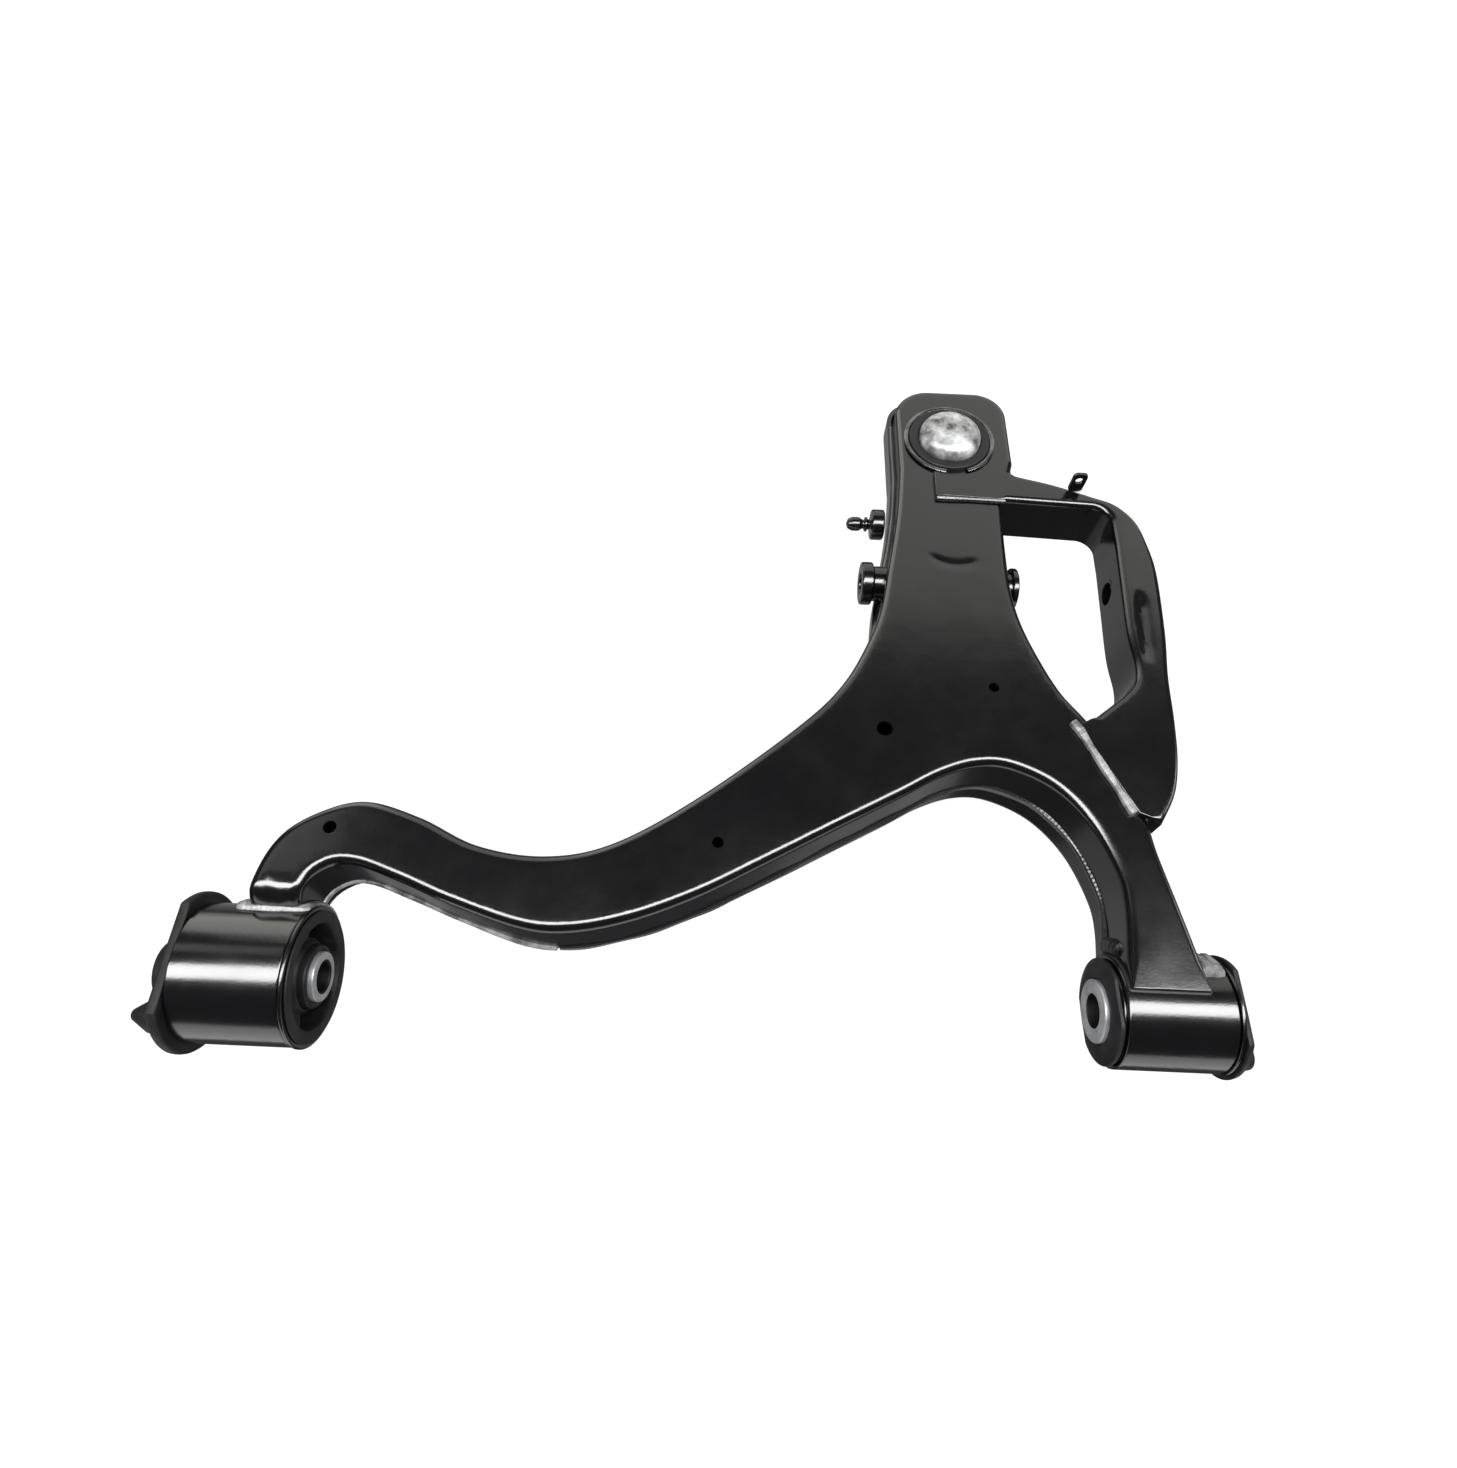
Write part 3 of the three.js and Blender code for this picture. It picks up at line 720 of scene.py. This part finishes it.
def upper_rim(x, y):
    """The height of the upper shell's lower edge."""
    drop = smoothstep(y, NECK_LAP_Y, NECK_LAP_Y + 4)
    return UPPER_RIM_Z + (UPPER_NECK_RIM_Z - UPPER_RIM_Z) * drop


def lower_rim(x, y):
    """The height of the lower shell's upper edge."""
    leg = (LOWER_LEG_RIM_Z - LOWER_HUB_RIM_Z) * (1 - smoothstep(y, LEG_LAP_Y - 6, LEG_LAP_Y))
    neck = (LOWER_NECK_RIM_Z - LOWER_HUB_RIM_Z) * smoothstep(y, NECK_LAP_Y - 1, NECK_LAP_Y + 5)
    return LOWER_HUB_RIM_Z + leg + neck


def sleeve_cutters():
    """Room in the shells for the sleeves, the housing and the damper's tube."""
    return [
        bar(REAR_R + SLIP, REAR_X0 - 20, REAR_X1 + 20, segments=96),
        bar(FRONT_R + SLIP, FRONT_X0 - 20, FRONT_X1 + 20, segments=96),
        post(HOUSING_R + SLIP, BALL_X, BALL_Y, -60, 60, 96),
        bar(TUBE_R + SLIP, 60, 200, DAMPER_Y, DAMPER_Z),
    ]


# x, y and radius of each
TOOLING_HOLES = [(-3, 71, 3), (87, 143, 4.5), (151, 173, 3), (-205, 70, 3.5)]

upper_outline = shell_outline(0.0, LAP_INSET, 27.0)
lower_outline = shell_outline(LAP_INSET, 0.0, 20.0)

LEG_END_Y = 6.0
LEG_END_FILLET = 0.8
upper_fillet = np.where(upper_outline[:, 1] < LEG_END_Y, LEG_END_FILLET, TOP_FILLET)
upper = pressing("upper_shell_pressing", upper_outline, upper_rim, top_height, upper_fillet, 1,
                 detail=CREASE_DETAIL)
boolean(upper, sleeve_cutters() + [post(r, x, y, 0, 60, 32) for x, y, r in TOOLING_HOLES])
finish_piece(upper, "arm", PAINT, ["upper_shell"])

lower = pressing("lower_shell_pressing", lower_outline, lower_rim, floor_height, FLOOR_FILLET, -1)
boolean(lower, sleeve_cutters())
finish_piece(lower, "arm", PAINT, ["lower_shell"])


# ---------------------------------------------------------------- damper brace
BRACE_OUTER = [
    spline([
        (186, 334), (205, 329), (228, 320.5), (243, 314), (254, 300), (258.5, 280), (260, 258),
        (257, 215), (253, 184), (251, 155), (248, 130), (242.5, 110), (232, 92),
    ]),
]
BRACE_OPENING = [
    [(207, 156)],
    spline([(223, 169), (232, 179), (235, 192), (234, 215), (236, 250), (238, 282)]),
    arc(226.5, 299, 12, 0, 90, 10),
]
BRACE_FILLET = 3.8
BRACE_LAP_FILLET = 0.7
GROOVE_DEPTH = 2.2
GROOVE_WIDTH = 2.6
GROOVE_Y = (199, 238)
GROOVE_X = (242.5, 245.5)
GROOVE_FADE_IN = (192, 206)
GROOVE_FADE_OUT = (232, 246)
GROOVE_DETAIL = (232, 256, 188, 250, 1.5)
BRACE_INNER_WALL_X = (225, 250)
BRACE_OUTER_WALL_X = (248, 270)
ACCESS_R = 11.0  # the outer wall's hole, for the tool that turns the damper's bolt


def brace():
    """The brace: a channel with its top plate lapped over the neck and the short leg."""
    outline = closed([
        [(127, 315)], arc(BALL_X, BALL_Y, HOUSING_R + 6, -112, -50, 12), *BRACE_OUTER,
        [(220, 97), (195, 149)], *BRACE_OPENING,
    ])
    outline = clear_corners(outline, reach=6.0)
    lapped = inside_polygon(outline, upper_outline)
    fillet = np.where(lapped, BRACE_LAP_FILLET, BRACE_FILLET)

    def rim(px, py):
        return np.where(lapped, BRACE_TOP_Z - SHEET, 0.0)

    def cap(px, py):
        """The top face, with a pressed groove along the damper's side."""
        x = np.asarray(px, float)
        y = np.asarray(py, float)
        from_line = (x - np.interp(y, GROOVE_Y, GROOVE_X)) / GROOVE_WIDTH
        window = smoothstep(y, *GROOVE_FADE_IN) * (1 - smoothstep(y, *GROOVE_FADE_OUT))
        return BRACE_TOP_Z - GROOVE_DEPTH * window * np.exp(-from_line ** 2)

    piece = pressing("damper_brace_pressing", outline, rim, cap, fillet, 1,
                     detail=GROOVE_DETAIL)
    boolean(piece, [
        bar(DAMPER_BORE, *BRACE_INNER_WALL_X, DAMPER_Y, DAMPER_Z),
        bar(ACCESS_R, *BRACE_OUTER_WALL_X, DAMPER_Y, DAMPER_Z),
    ])
    return piece


finish_piece(brace(), "arm", PAINT, ["damper_brace"])


TAB_X = 216.5
TAB_Y = 324.0
TAB_FOOT_Z = BRACE_TOP_Z + GAP


def harness_tab():
    """The small upright tab, with its hole near the top."""
    width, height, thick = 9.0, 15.0, 2.0
    hole_z = height - 5.5
    outline = rounded([
        (-width / 2, 0), (width / 2, 0), (width / 2, height), (-width / 2, height),
        (-width / 2, 0),
    ], 3.0, 6)[:-1]
    near, far = (
        [(x + TAB_X, y, z + TAB_FOOT_Z) for x, z in outline] for y in (TAB_Y - thick, TAB_Y)
    )
    tab = prism("harness_tab_plate", near, far)
    hole = lathe("cutter", [(0, -9), (2.5, -9), (2.5, 9), (0, 9)], "z", segments=32)
    turn = Matrix.Rotation(math.pi / 2, 4, "X")
    hole.data.transform(Matrix.Translation(-ORIGIN))
    hole.data.transform(turn)
    hole.data.transform(Matrix.Translation(place((TAB_X, TAB_Y - thick / 2, TAB_FOOT_Z + hole_z))))
    boolean(tab, [hole])
    return tab


finish_piece(harness_tab(), "arm", PAINT, ["harness_tab"])


# ---------------------------------------------------------------- pieces turned about x
def turned_x(name, profile, body, material, slot, y=0.0, z=0.0, radius=0.8, nodes=None, **more):
    piece = lathe(name, rounded(profile, radius), "x", (0, y, z), **more)
    return finish_piece(piece, body, material, nodes or ())


turned_x("damper_tube", ring_profile(DAMPER_BORE, TUBE_R, TUBE_X0, TUBE_X1), "arm", PAINT, "paint",
         DAMPER_Y, DAMPER_Z, nodes=["damper_bolt_tube"])
turned_x("damper_nut", ring_profile(NUT_BORE_R, NUT_R, TUBE_X0 - NUT_LENGTH, TUBE_X0 - GAP),
         "arm", PAINT, "paint", DAMPER_Y, DAMPER_Z, 1.4, nodes=["damper_weld_nut"])
turned_x("damper_boss", ring_profile(TUBE_R + GAP, NUT_R, NECK_RIGHT + 0.5, TUBE_X1), "arm", PAINT,
         "paint", DAMPER_Y, DAMPER_Z, 1.0, nodes=["damper_boss_ring"])

SENSOR_Y = 313.0
SENSOR_Z = 5.0
turned_x("sensor_boss", [(0, 89), (10, 89), (10, 97.5), (0, 97.5)], "arm", PAINT, "paint", SENSOR_Y,
         SENSOR_Z, 1.5, nodes=["sensor_stud_boss"])
turned_x("sensor_ball_stud", [
    (0, 72.5), (3.2, 73.6), (4.6, 76.6), (4.6, 81), (3.0, 83.5), (3.0, 84.5), (4.8, 84.8),
    (4.8, 86.4), (3.4, 86.8), (3.4, 88.7), (0, 88.7),
], "arm", PAINT, "paint", SENSOR_Y, SENSOR_Z, 1.2, nodes=["sensor_stud"])

# A guessed collar round the brace's bolt hole.
turned_x("brace_collar", ring_profile(DAMPER_BORE, DAMPER_BORE + 2.4, 236.5, 246), "arm", PAINT,
         "paint", DAMPER_Y, DAMPER_Z, 0.9)

FLANGE_BORE_R = SLEEVE_R + GAP
LOBE_BORE_R = SLEEVE_R + 0.6


def paint_bore_shade(name, radius):
    """Paints the bore of a bush's inner sleeve near-black, as painted shade inside the hole."""
    data = bpy.data.objects[name].data
    data.materials.append(BORE_SHADE)
    for polygon in data.polygons:
        y, z = polygon.center.y - ORIGIN.y, polygon.center.z - ORIGIN.z
        if math.hypot(y, z) < radius * MM:
            polygon.material_index = 1


# Rear bush.
turned_x("rear_sleeve", ring_profile(REAR_R - REAR_WALL, REAR_R, REAR_X0, REAR_X1), "arm",
         PAINT, "paint", radius=1.0, nodes=["rear_bush_housing"], segments=128)
REAR_CAN_R = REAR_R - REAR_WALL - GAP
turned_x("rear_can", [
    (REAR_CAN_R - 2, REAR_X0 - 1), (REAR_CAN_R, REAR_X0 - 1), (REAR_CAN_R, REAR_X1 + GAP),
    (REAR_R + 0.8, REAR_X1 + GAP), (REAR_R + 0.8, REAR_X1 + 2.3), (REAR_CAN_R - 2, REAR_X1 + 2.3),
    (REAR_CAN_R - 2, REAR_X0 - 1),
], "arm", PAINT, "paint", radius=0.9, nodes=["rear_bush_can"], segments=128)


def kidney(inner, outer, middle, half, x0, x1):
    """A cutter for a void in the rubber, with its angles in degrees from +y towards +z."""
    shape = np.concatenate([
        arc(0, 0, outer, middle - half, middle + half, 16),
        arc(0, 0, inner, middle + half, middle - half, 16),
    ])
    shape = rounded(np.concatenate([shape, shape[:1]]), 2.5, 5)[:-1]
    return prism("cutter", [(x0, y, z) for y, z in shape], [(x1, y, z) for y, z in shape])


REAR_LIP_R = 33.4  # the rubber's lip over the can's flange
rear_rubber = lathe("rear_rubber", rounded([
    (SLEEVE_R + GAP, REAR_X0), (REAR_CAN_R - 2.1, REAR_X0), (REAR_CAN_R - 2.1, REAR_X1 + 2.4),
    (REAR_LIP_R, REAR_X1 + 2.4), (REAR_LIP_R, REAR_X1 + 3.6), (REAR_CAN_R - 4, REAR_X1 + 3.6),
    (REAR_CAN_R - 6, REAR_X1 - 1), (SLEEVE_R + 3, REAR_X1 - 2), (SLEEVE_R + GAP, REAR_X1 + 1.5),
    (SLEEVE_R + GAP, REAR_X0),
], 1.0), "x")
boolean(rear_rubber, [
    kidney(SLEEVE_R + 3.3, REAR_CAN_R - 5, middle, 38, REAR_X0 + 8, 0) for middle in (110, 230, 350)
])
finish_piece(rear_rubber, "arm", RUBBER, ["rear_bush_rubber"])
REAR_STEEL_R = 12.6
REAR_STEEL_X = (-282, -202)
REAR_COAT_X = (-262, -204.5)
turned_x("rear_inner_sleeve", ring_profile(BOLT_R - 0.8, REAR_STEEL_R, *REAR_STEEL_X), "rear_pivot",
         STEEL, "steel", radius=1.0, nodes=["rear_bush_inner_sleeve"])
# The rear bore is painted near-black, as painted shade inside the hole.
paint_bore_shade("rear_inner_sleeve", BOLT_R)
turned_x("rear_sleeve_coat", ring_profile(REAR_STEEL_R + 0.1, SLEEVE_R, *REAR_COAT_X),
         "rear_pivot", RUBBER, "rubber", radius=2.0)


def flat_swell(inner, outer, half):
    """Squeezes a turned flange between two flats at a distance half above and below the axis."""

    def swell(r, angle):
        limit = min(outer, half / max(abs(math.sin(angle)), 1e-6))
        if r <= inner:
            return r
        return inner + (r - inner) * (limit - inner) / (outer - inner)

    return swell


REAR_FLANGE_X = REAR_X0 - 1 - GAP
REAR_FLANGE_R = 40.5
REAR_CONE_X = -281.5
rear_bumper = lathe("rear_bumper", rounded([
    (FLANGE_BORE_R, REAR_FLANGE_X), (REAR_FLANGE_R, REAR_FLANGE_X),
    (REAR_FLANGE_R, REAR_FLANGE_X - 5), (19, REAR_FLANGE_X - 6.5), (15, REAR_CONE_X),
    (13, REAR_CONE_X), (13, -268.5), (FLANGE_BORE_R, -267), (FLANGE_BORE_R, REAR_FLANGE_X),
], 2.0), "x", swell=flat_swell(FLANGE_BORE_R, REAR_FLANGE_R, 30), segments=128)
rear_lobe = lathe("lobe", rounded([
    (0, REAR_FLANGE_X - 3), (12, REAR_FLANGE_X - 3), (8.5, -281), (2.5, -291), (0, -291)], 3.0),
    "x", (0, -23, 2), 48)
boolean(rear_lobe, [bar(LOBE_BORE_R, -400, 0)])
boolean(rear_bumper, [rear_lobe], "UNION")
finish_piece(rear_bumper, "rear_pivot", RUBBER, ["rear_bush_bumper"])


# Front bush.
turned_x("front_sleeve", ring_profile(FRONT_R - FRONT_WALL, FRONT_R, FRONT_X0, FRONT_X1), "arm", PAINT,
         "paint", radius=1.0, nodes=["front_bush_housing"], segments=128)
FRONT_CAN_R = FRONT_R - FRONT_WALL - GAP
turned_x("front_can", [
    (FRONT_CAN_R - 2, FRONT_X0 - 1), (FRONT_CAN_R, FRONT_X0 - 1), (FRONT_CAN_R, FRONT_X1 + GAP),
    (FRONT_R + 1, FRONT_X1 + GAP), (FRONT_R + 1, FRONT_X1 + 2.3), (FRONT_CAN_R - 2, FRONT_X1 + 2.3),
    (FRONT_CAN_R - 2, FRONT_X0 - 1),
], "arm", PAINT, "paint", radius=0.9, nodes=["front_bush_can"], segments=128)
turned_x("front_rubber", ring_profile(SLEEVE_R + GAP, FRONT_CAN_R - 2.1, FRONT_X0 - 0.5, FRONT_X1),
         "arm", RUBBER, "rubber", nodes=["front_bush_rubber"])
turned_x("front_inner_sleeve", ring_profile(BOLT_R, SLEEVE_R, 193, 263), "front_pivot", STEEL,
         "steel", radius=1.0, nodes=["front_bush_inner_sleeve"])
# The front bore is painted near-black, as painted shade inside the hole.
paint_bore_shade("front_inner_sleeve", BOLT_R + 0.4)
turned_x("front_thrust_ring", [
    (SLEEVE_R + GAP, 195), (22, 195), (26.8, 196.6), (26.8, 198.7), (SLEEVE_R + GAP, 198.7),
    (SLEEVE_R + GAP, 195),
], "front_pivot", RUBBER, "rubber", nodes=["front_bush_thrust_ring"],
    swell=flat_swell(SLEEVE_R + GAP, 26.8, 24))
FRONT_FLANGE_X = FRONT_X1 + 2.6
FRONT_FLANGE_R = 31.0
front_bumper = lathe("front_bumper", rounded([
    (FLANGE_BORE_R, FRONT_FLANGE_X), (FRONT_FLANGE_R, FRONT_FLANGE_X), (30, FRONT_FLANGE_X + 3),
    (19.5, 262), (FLANGE_BORE_R, 262), (FLANGE_BORE_R, FRONT_FLANGE_X),
], 1.0), "x", swell=flat_swell(FLANGE_BORE_R, FRONT_FLANGE_R, 25), segments=128)
front_lobe = lathe("lobe", rounded([
    (0, FRONT_FLANGE_X + 1), (7.5, FRONT_FLANGE_X + 1), (6.2, 267), (0, 267)], 2.4), "x",
    (0, -20, 4), 48)
boolean(front_lobe, [bar(LOBE_BORE_R, 0, 400)])
boolean(front_bumper, [front_lobe], "UNION")
finish_piece(front_bumper, "front_pivot", RUBBER, ["front_bush_bumper"])


# ---------------------------------------------------------------- ball joint
def turned_z(name, profile, body, material, slot, radius=0.8, nodes=None, **more):
    piece = lathe(name, rounded(profile, radius), "z", (BALL_X, BALL_Y, 0), **more)
    return finish_piece(piece, body, material, nodes or ())


turned_z("ball_housing", [
    (12.8, -5.8), (18.3, -21), (22, -21), (22, -15.5), (HOUSING_R, -11), (HOUSING_R, 34),
    (COVER_R + GAP, 34), (COVER_R + GAP, 23.7), (19.3, 23.7), (19.3, -5.8), (12.8, -5.8),
], "arm", PHOSPHATE, "paint", 1.2, ["ball_joint_housing"])
turned_z("ball_cover", [
    (0, 24), (COVER_R, 24), *[
        (10 + (COVER_R - 10) * math.cos(a), 34.5 + 8.5 * math.sin(a))
        for a in np.radians(np.linspace(0, 88, 12))
    ], (0, 43.0),
], "arm", ZINC, "zinc", 0.6, ["ball_joint_cover"])


def retaining_ring():
    """An open spring ring round the housing."""
    plan = arc(BALL_X, BALL_Y, HOUSING_R + 1.9, -70, 262, 110)
    path = np.column_stack([plan, np.full(len(plan), TOP_Z + 1.3)])
    return sweep("spring_ring", path, UP, 1.6, ring=12, flatten=0.62)


finish_piece(retaining_ring(), "arm", SPRING, ["retaining_ring"])

NECK_R = 7.5
stud_angles = np.linspace(-math.acos(NECK_R / BALL_R), math.pi / 2, 28)
stud_ball = [(max(0.0, BALL_R * math.cos(a)), BALL_Z + BALL_R * math.sin(a)) for a in stud_angles]
stud_ball[-1] = (0.0, BALL_Z + BALL_R)


def stud_thread():
    """The stud's thread: ridges from its end up to the taper."""
    pitch, crest, root = 1.5, 7.0, 6.2
    ridges = [(5.6, -78.0), (crest - 0.2, -76.6)]
    z = -76.2
    while z < -62:
        ridges += [(root, z + pitch * 0.25), (crest, z + pitch * 0.75)]
        z += pitch
    return ridges


turned_z("stud", [
    (0, -78), *stud_thread(), (7.0, -61), (7.8, -60), (9.3, -41), (9.5, -40), (9.5, -33),
    (NECK_R, -31), *stud_ball,
], "stud", STEEL, "steel", 0.25, ["ball_stud"])

boot = lathe("boot", rounded([
    (22.3, -16.5), (24.3, -16.5), (24.3, -17.2), (24.0, -18.5), (24.3, -20.0), (25.4, -21.2),
    (26, -24), (25.6, -28), (22, -32.5), (16, -35.5), (12.4, -37.5), (12.1, -39.4), (12.4, -41),
    (9.8, -41), (9.8, -36.5), (15, -33.6), (20.6, -30.8), (23.4, -27.4), (23.8, -24.6),
    (22.3, -21.6), (22.3, -16.5),
], 1.0), "z", (BALL_X, BALL_Y, 0))
shade(boot, 50)
boot.data.materials.append(RUBBER)
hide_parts("dust_boot")
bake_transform(boot)
turned_z("boot_upper_ring", ring_profile(24.5, 25.7, -19.6, -17.4), "ball_swing", SPRING, "steel",
         0.5, ["boot_housing_ring"])
turned_z("boot_lower_ring", ring_profile(12.6, 13.8, -40.4, -38.4), "ball_tilt", SPRING, "steel",
         0.5, ["boot_stud_ring"])
for node, finish in (("preload_disc", RUBBER), ("ball_liner", LINER)):
    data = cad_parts[node].data
    data.materials.clear()
    data.materials.append(finish)

# ---------------------------------------------------------------- welds
def outline_stretch(outline, start, end, inset, z):
    """The part of an outline from the point nearest start to the one nearest end, clockwise."""
    i = int(np.argmin(np.sum((outline - np.array(start)) ** 2, axis=1)))
    j = int(np.argmin(np.sum((outline - np.array(end)) ** 2, axis=1)))
    if j < i:
        j += len(outline)
    moved = outline + inward(outline) * inset
    plan = moved[np.arange(i, j + 1) % len(outline)]
    return np.column_stack([plan, np.full(len(plan), z)])


SEAMS = {
    "seam_weld_far": ((-238.7, 37), (90, 250), BEAD, 2.6),
    "seam_weld_right": ((NECK_RIGHT, 250), (240, 29), BEAD, 2.6),
    "seam_weld_arch": ((204, 30), (-85, 22), BEAD, 2.6),
    "seam_weld_rear": ((-85, 22), (-212.5, 36), SPATTER, 5.2),
}
for name, (start, end, finish, pitch) in SEAMS.items():
    path = outline_stretch(upper_outline, start, end, 1.2, UPPER_RIM_Z - 1.2)
    finish_piece(weld(name, path, 2.7, pitch), "arm", finish)

for name, start, end in (
    ("neck_weld_left", (90, 256), (NECK_LEFT + 2, 395)),
    ("neck_weld_right", (END_RIGHT, 395), (NECK_RIGHT, 256)),
):
    path = outline_stretch(lower_outline, start, end, 2.6, LOWER_NECK_RIM_Z + 0.4)
    finish_piece(weld(name, path, 1.9), "arm", BEAD)


def sleeve_weld(name, radius, left, right, top_deg, bottom_deg, size):
    """A bead round the end of a leg where it meets a bush's sleeve, seen from the side as a
    closed loop on the cylinder. Angles are in degrees from +y towards +z."""
    top = math.radians(top_deg)
    bottom = math.radians(bottom_deg)
    loop = [(left, top), (right, top), (right, bottom), (left, bottom), (left, top)]
    path = []
    for (x0, a0), (x1, a1) in zip(loop, loop[1:]):
        for t in np.linspace(0, 1, 40, endpoint=False):
            a = a0 + (a1 - a0) * t
            path.append((x0 + (x1 - x0) * t, radius * math.cos(a), radius * math.sin(a)))
    path = resample(path + path[:1], 0.65)[:-1]
    outwards = path * np.array((0, 1, 1))
    outwards /= np.linalg.norm(outwards, axis=1, keepdims=True)
    count = np.arange(len(path))
    scale = ripple(count, 0.93, 0.12) * (1 + 0.15 * np.sin(count * 0.09))
    return sweep(name, path, outwards, size, scale, loop=True, flatten=0.7)


finish_piece(sleeve_weld("rear_sleeve_weld", REAR_R + 0.2, -242.5, -211.5, 34, -31, 4.0), "arm",
             SPATTER)
finish_piece(sleeve_weld("front_sleeve_weld", FRONT_R + 0.2, 202.3, 240.8, 80, -78, 1.3), "arm",
             PHOSPHATE)
TOE_R = FRONT_R + 0.5
for side, x in (("near", 243.5), ("far", 248)):
    toe = [(x, TOE_R * math.cos(a), TOE_R * math.sin(a)) for a in np.radians([28, 36, 44, 52, 60])]
    finish_piece(weld("front_toe_weld_" + side, toe, 3.8, 3.4), "arm", SPATTER)
arch_toe = [(203.2, 33, 6), (204.7, 30, 12), (206.3, 27, 17)]
finish_piece(weld("arch_toe_weld", arch_toe, 4.0, 3.0), "arm", BEAD)
LAP_WELD_Z = TOP_Z + 1.2
leg_weld = [(x, y, LAP_WELD_Z) for x, y in ((192.5, 152), (196.5, 146), (207, 122), (218, 97))]
finish_piece(weld("brace_leg_weld", leg_weld, 2.4, 1.8), "arm", SPATTER)
lap_weld = [(x, y, LAP_WELD_Z) for x, y in ((127, 314), (150, 314), (172, 313.6))]
finish_piece(weld("brace_neck_weld", lap_weld, 1.7, 2.2), "arm", BEAD)


# ---------------------------------------------------------------- floor, light, camera
def metres(x, y, z):
    """A design point given in metres as a frame point."""
    return ORIGIN + Vector((x, y, z))


def stage_material():
    material, shader = principled("pale_floor", (0.06, 0.06, 0.06), 0.9)
    n = Nodes(material)
    tone = n.ramp(n.noise(3.0, 2.0, 0.5), [(0.3, 0.055), (0.7, 0.065)])
    n.link(tone, shader.inputs["Base Color"])
    shader.inputs["Emission Color"].default_value = (1, 1, 1, 1)
    shader.inputs["Emission Strength"].default_value = 0.96
    return material


def studio_floor():
    """A wide pale floor that curves up into a backdrop all round."""
    flat, bend, top, sink = 5.0, 2.0, 7.0, 0.0005
    profile = [(0.0, 0.0), (flat, 0.0)]
    for a in np.radians(np.linspace(0, 90, 13))[1:]:
        profile.append((flat + bend * math.sin(a), bend * (1 - math.cos(a))))
    profile.append((flat + bend, top))
    segments = 96
    vertices = []
    faces = []
    for radius, height in profile:
        for k in range(segments):
            a = 2 * math.pi * k / segments
            vertices.append((radius * math.cos(a), radius * math.sin(a), height - sink))
    for row in range(len(profile) - 1):
        for k in range(segments):
            j = (k + 1) % segments
            faces.append([row * segments + k, row * segments + j,
                          (row + 1) * segments + j, (row + 1) * segments + k])
    data = bpy.data.meshes.new("floor")
    data.from_pydata(vertices, [], faces)
    data.shade_smooth()
    data.materials.append(stage_material())
    obj = bpy.data.objects.new("floor", data)
    bpy.context.scene.collection.objects.link(obj)
    return obj


floor = studio_floor()
floor.visible_glossy = False
floor.visible_shadow = False


def softbox(name, centre, target, size_x, size_y, radiance, spin=0.0, colour=(1, 1, 1)):
    """A rectangular light that gives the same radiance over its face."""
    light = bpy.data.lights.new(name, "AREA")
    light.shape = "RECTANGLE"
    light.size = size_x
    light.size_y = size_y
    light.energy = radiance * size_x * size_y * math.pi
    light.color = colour
    obj = bpy.data.objects.new(name, light)
    bpy.context.scene.collection.objects.link(obj)
    centre = metres(*centre)
    facing = (centre - metres(*target)).to_track_quat("Z", "Y").to_matrix().to_4x4()
    obj.matrix_world = Matrix.Translation(centre) @ facing @ Matrix.Rotation(spin, 4, "Z")
    obj.visible_camera = False
    return obj


# A long strip overhead, panels behind the ball joint end, and low panels that light the
# undersides. The coating mirrors them, so their places set where its highlights lie.
WARM = (1.0, 0.995, 0.93)
softbox("overhead_strip", (0.0, -0.12, 1.0), (0.0, -0.12, 0.0), 2.6, 0.40, 16.0, math.radians(8))
softbox("far_panel", (0.1, 1.5, 0.93), (0.1, 0.0, 0.93), 2.8, 1.85, 1.0, colour=WARM)
softbox("far_left_panel", (-1.15, 1.45, 0.45), (-1.15, 0.0, 0.45), 1.3, 1.3, 1.1, colour=WARM)
softbox("left_fill", (-0.95, 0.47, 1.0), (-0.95, 0.47, 0.0), 0.6, 0.26, 0.9)
softbox("right_panel", (1.3, 0.30, 0.28), (0.0, 0.30, 0.28), 0.42, 0.42, 3.0)
softbox("low_panel", (0.0, 0.75, -0.5), (0.0, 0.75, 0.5), 3.0, 1.5, 0.25)
softbox("low_front_panel", (0.0, -0.78, -0.3), (0.0, -0.78, 0.5), 2.8, 1.06, 1.3)

world = bpy.data.worlds.new("studio")
bpy.context.scene.world = world
world.use_nodes = True
world.node_tree.nodes["Background"].inputs["Color"].default_value = (0.93, 0.94, 1.0, 1.0)
world.node_tree.nodes["Background"].inputs["Strength"].default_value = 0.08

scene = bpy.context.scene
scene.view_settings.view_transform = "Standard"

CAMERA_FOCAL_PX = 900.0
IMAGE_HEIGHT = 1468.0
SENSOR_MM = 36.0
camera_data = bpy.data.cameras.new("camera")
camera_data.sensor_width = SENSOR_MM
camera_data.lens = CAMERA_FOCAL_PX / IMAGE_HEIGHT * SENSOR_MM
camera = bpy.data.objects.new("camera", camera_data)
scene.collection.objects.link(camera)
LOOK_DOWN = math.radians(62.0)
LEVEL = 0.0445
camera.matrix_world = (
    Matrix.Translation(place((0.0, -98.94, 471.11)))
    @ Matrix.Rotation(math.pi / 2 - LOOK_DOWN, 4, "X")
    @ Matrix.Rotation(LEVEL, 4, "Z")
)
scene.camera = camera

bpy.context.view_layer.update()
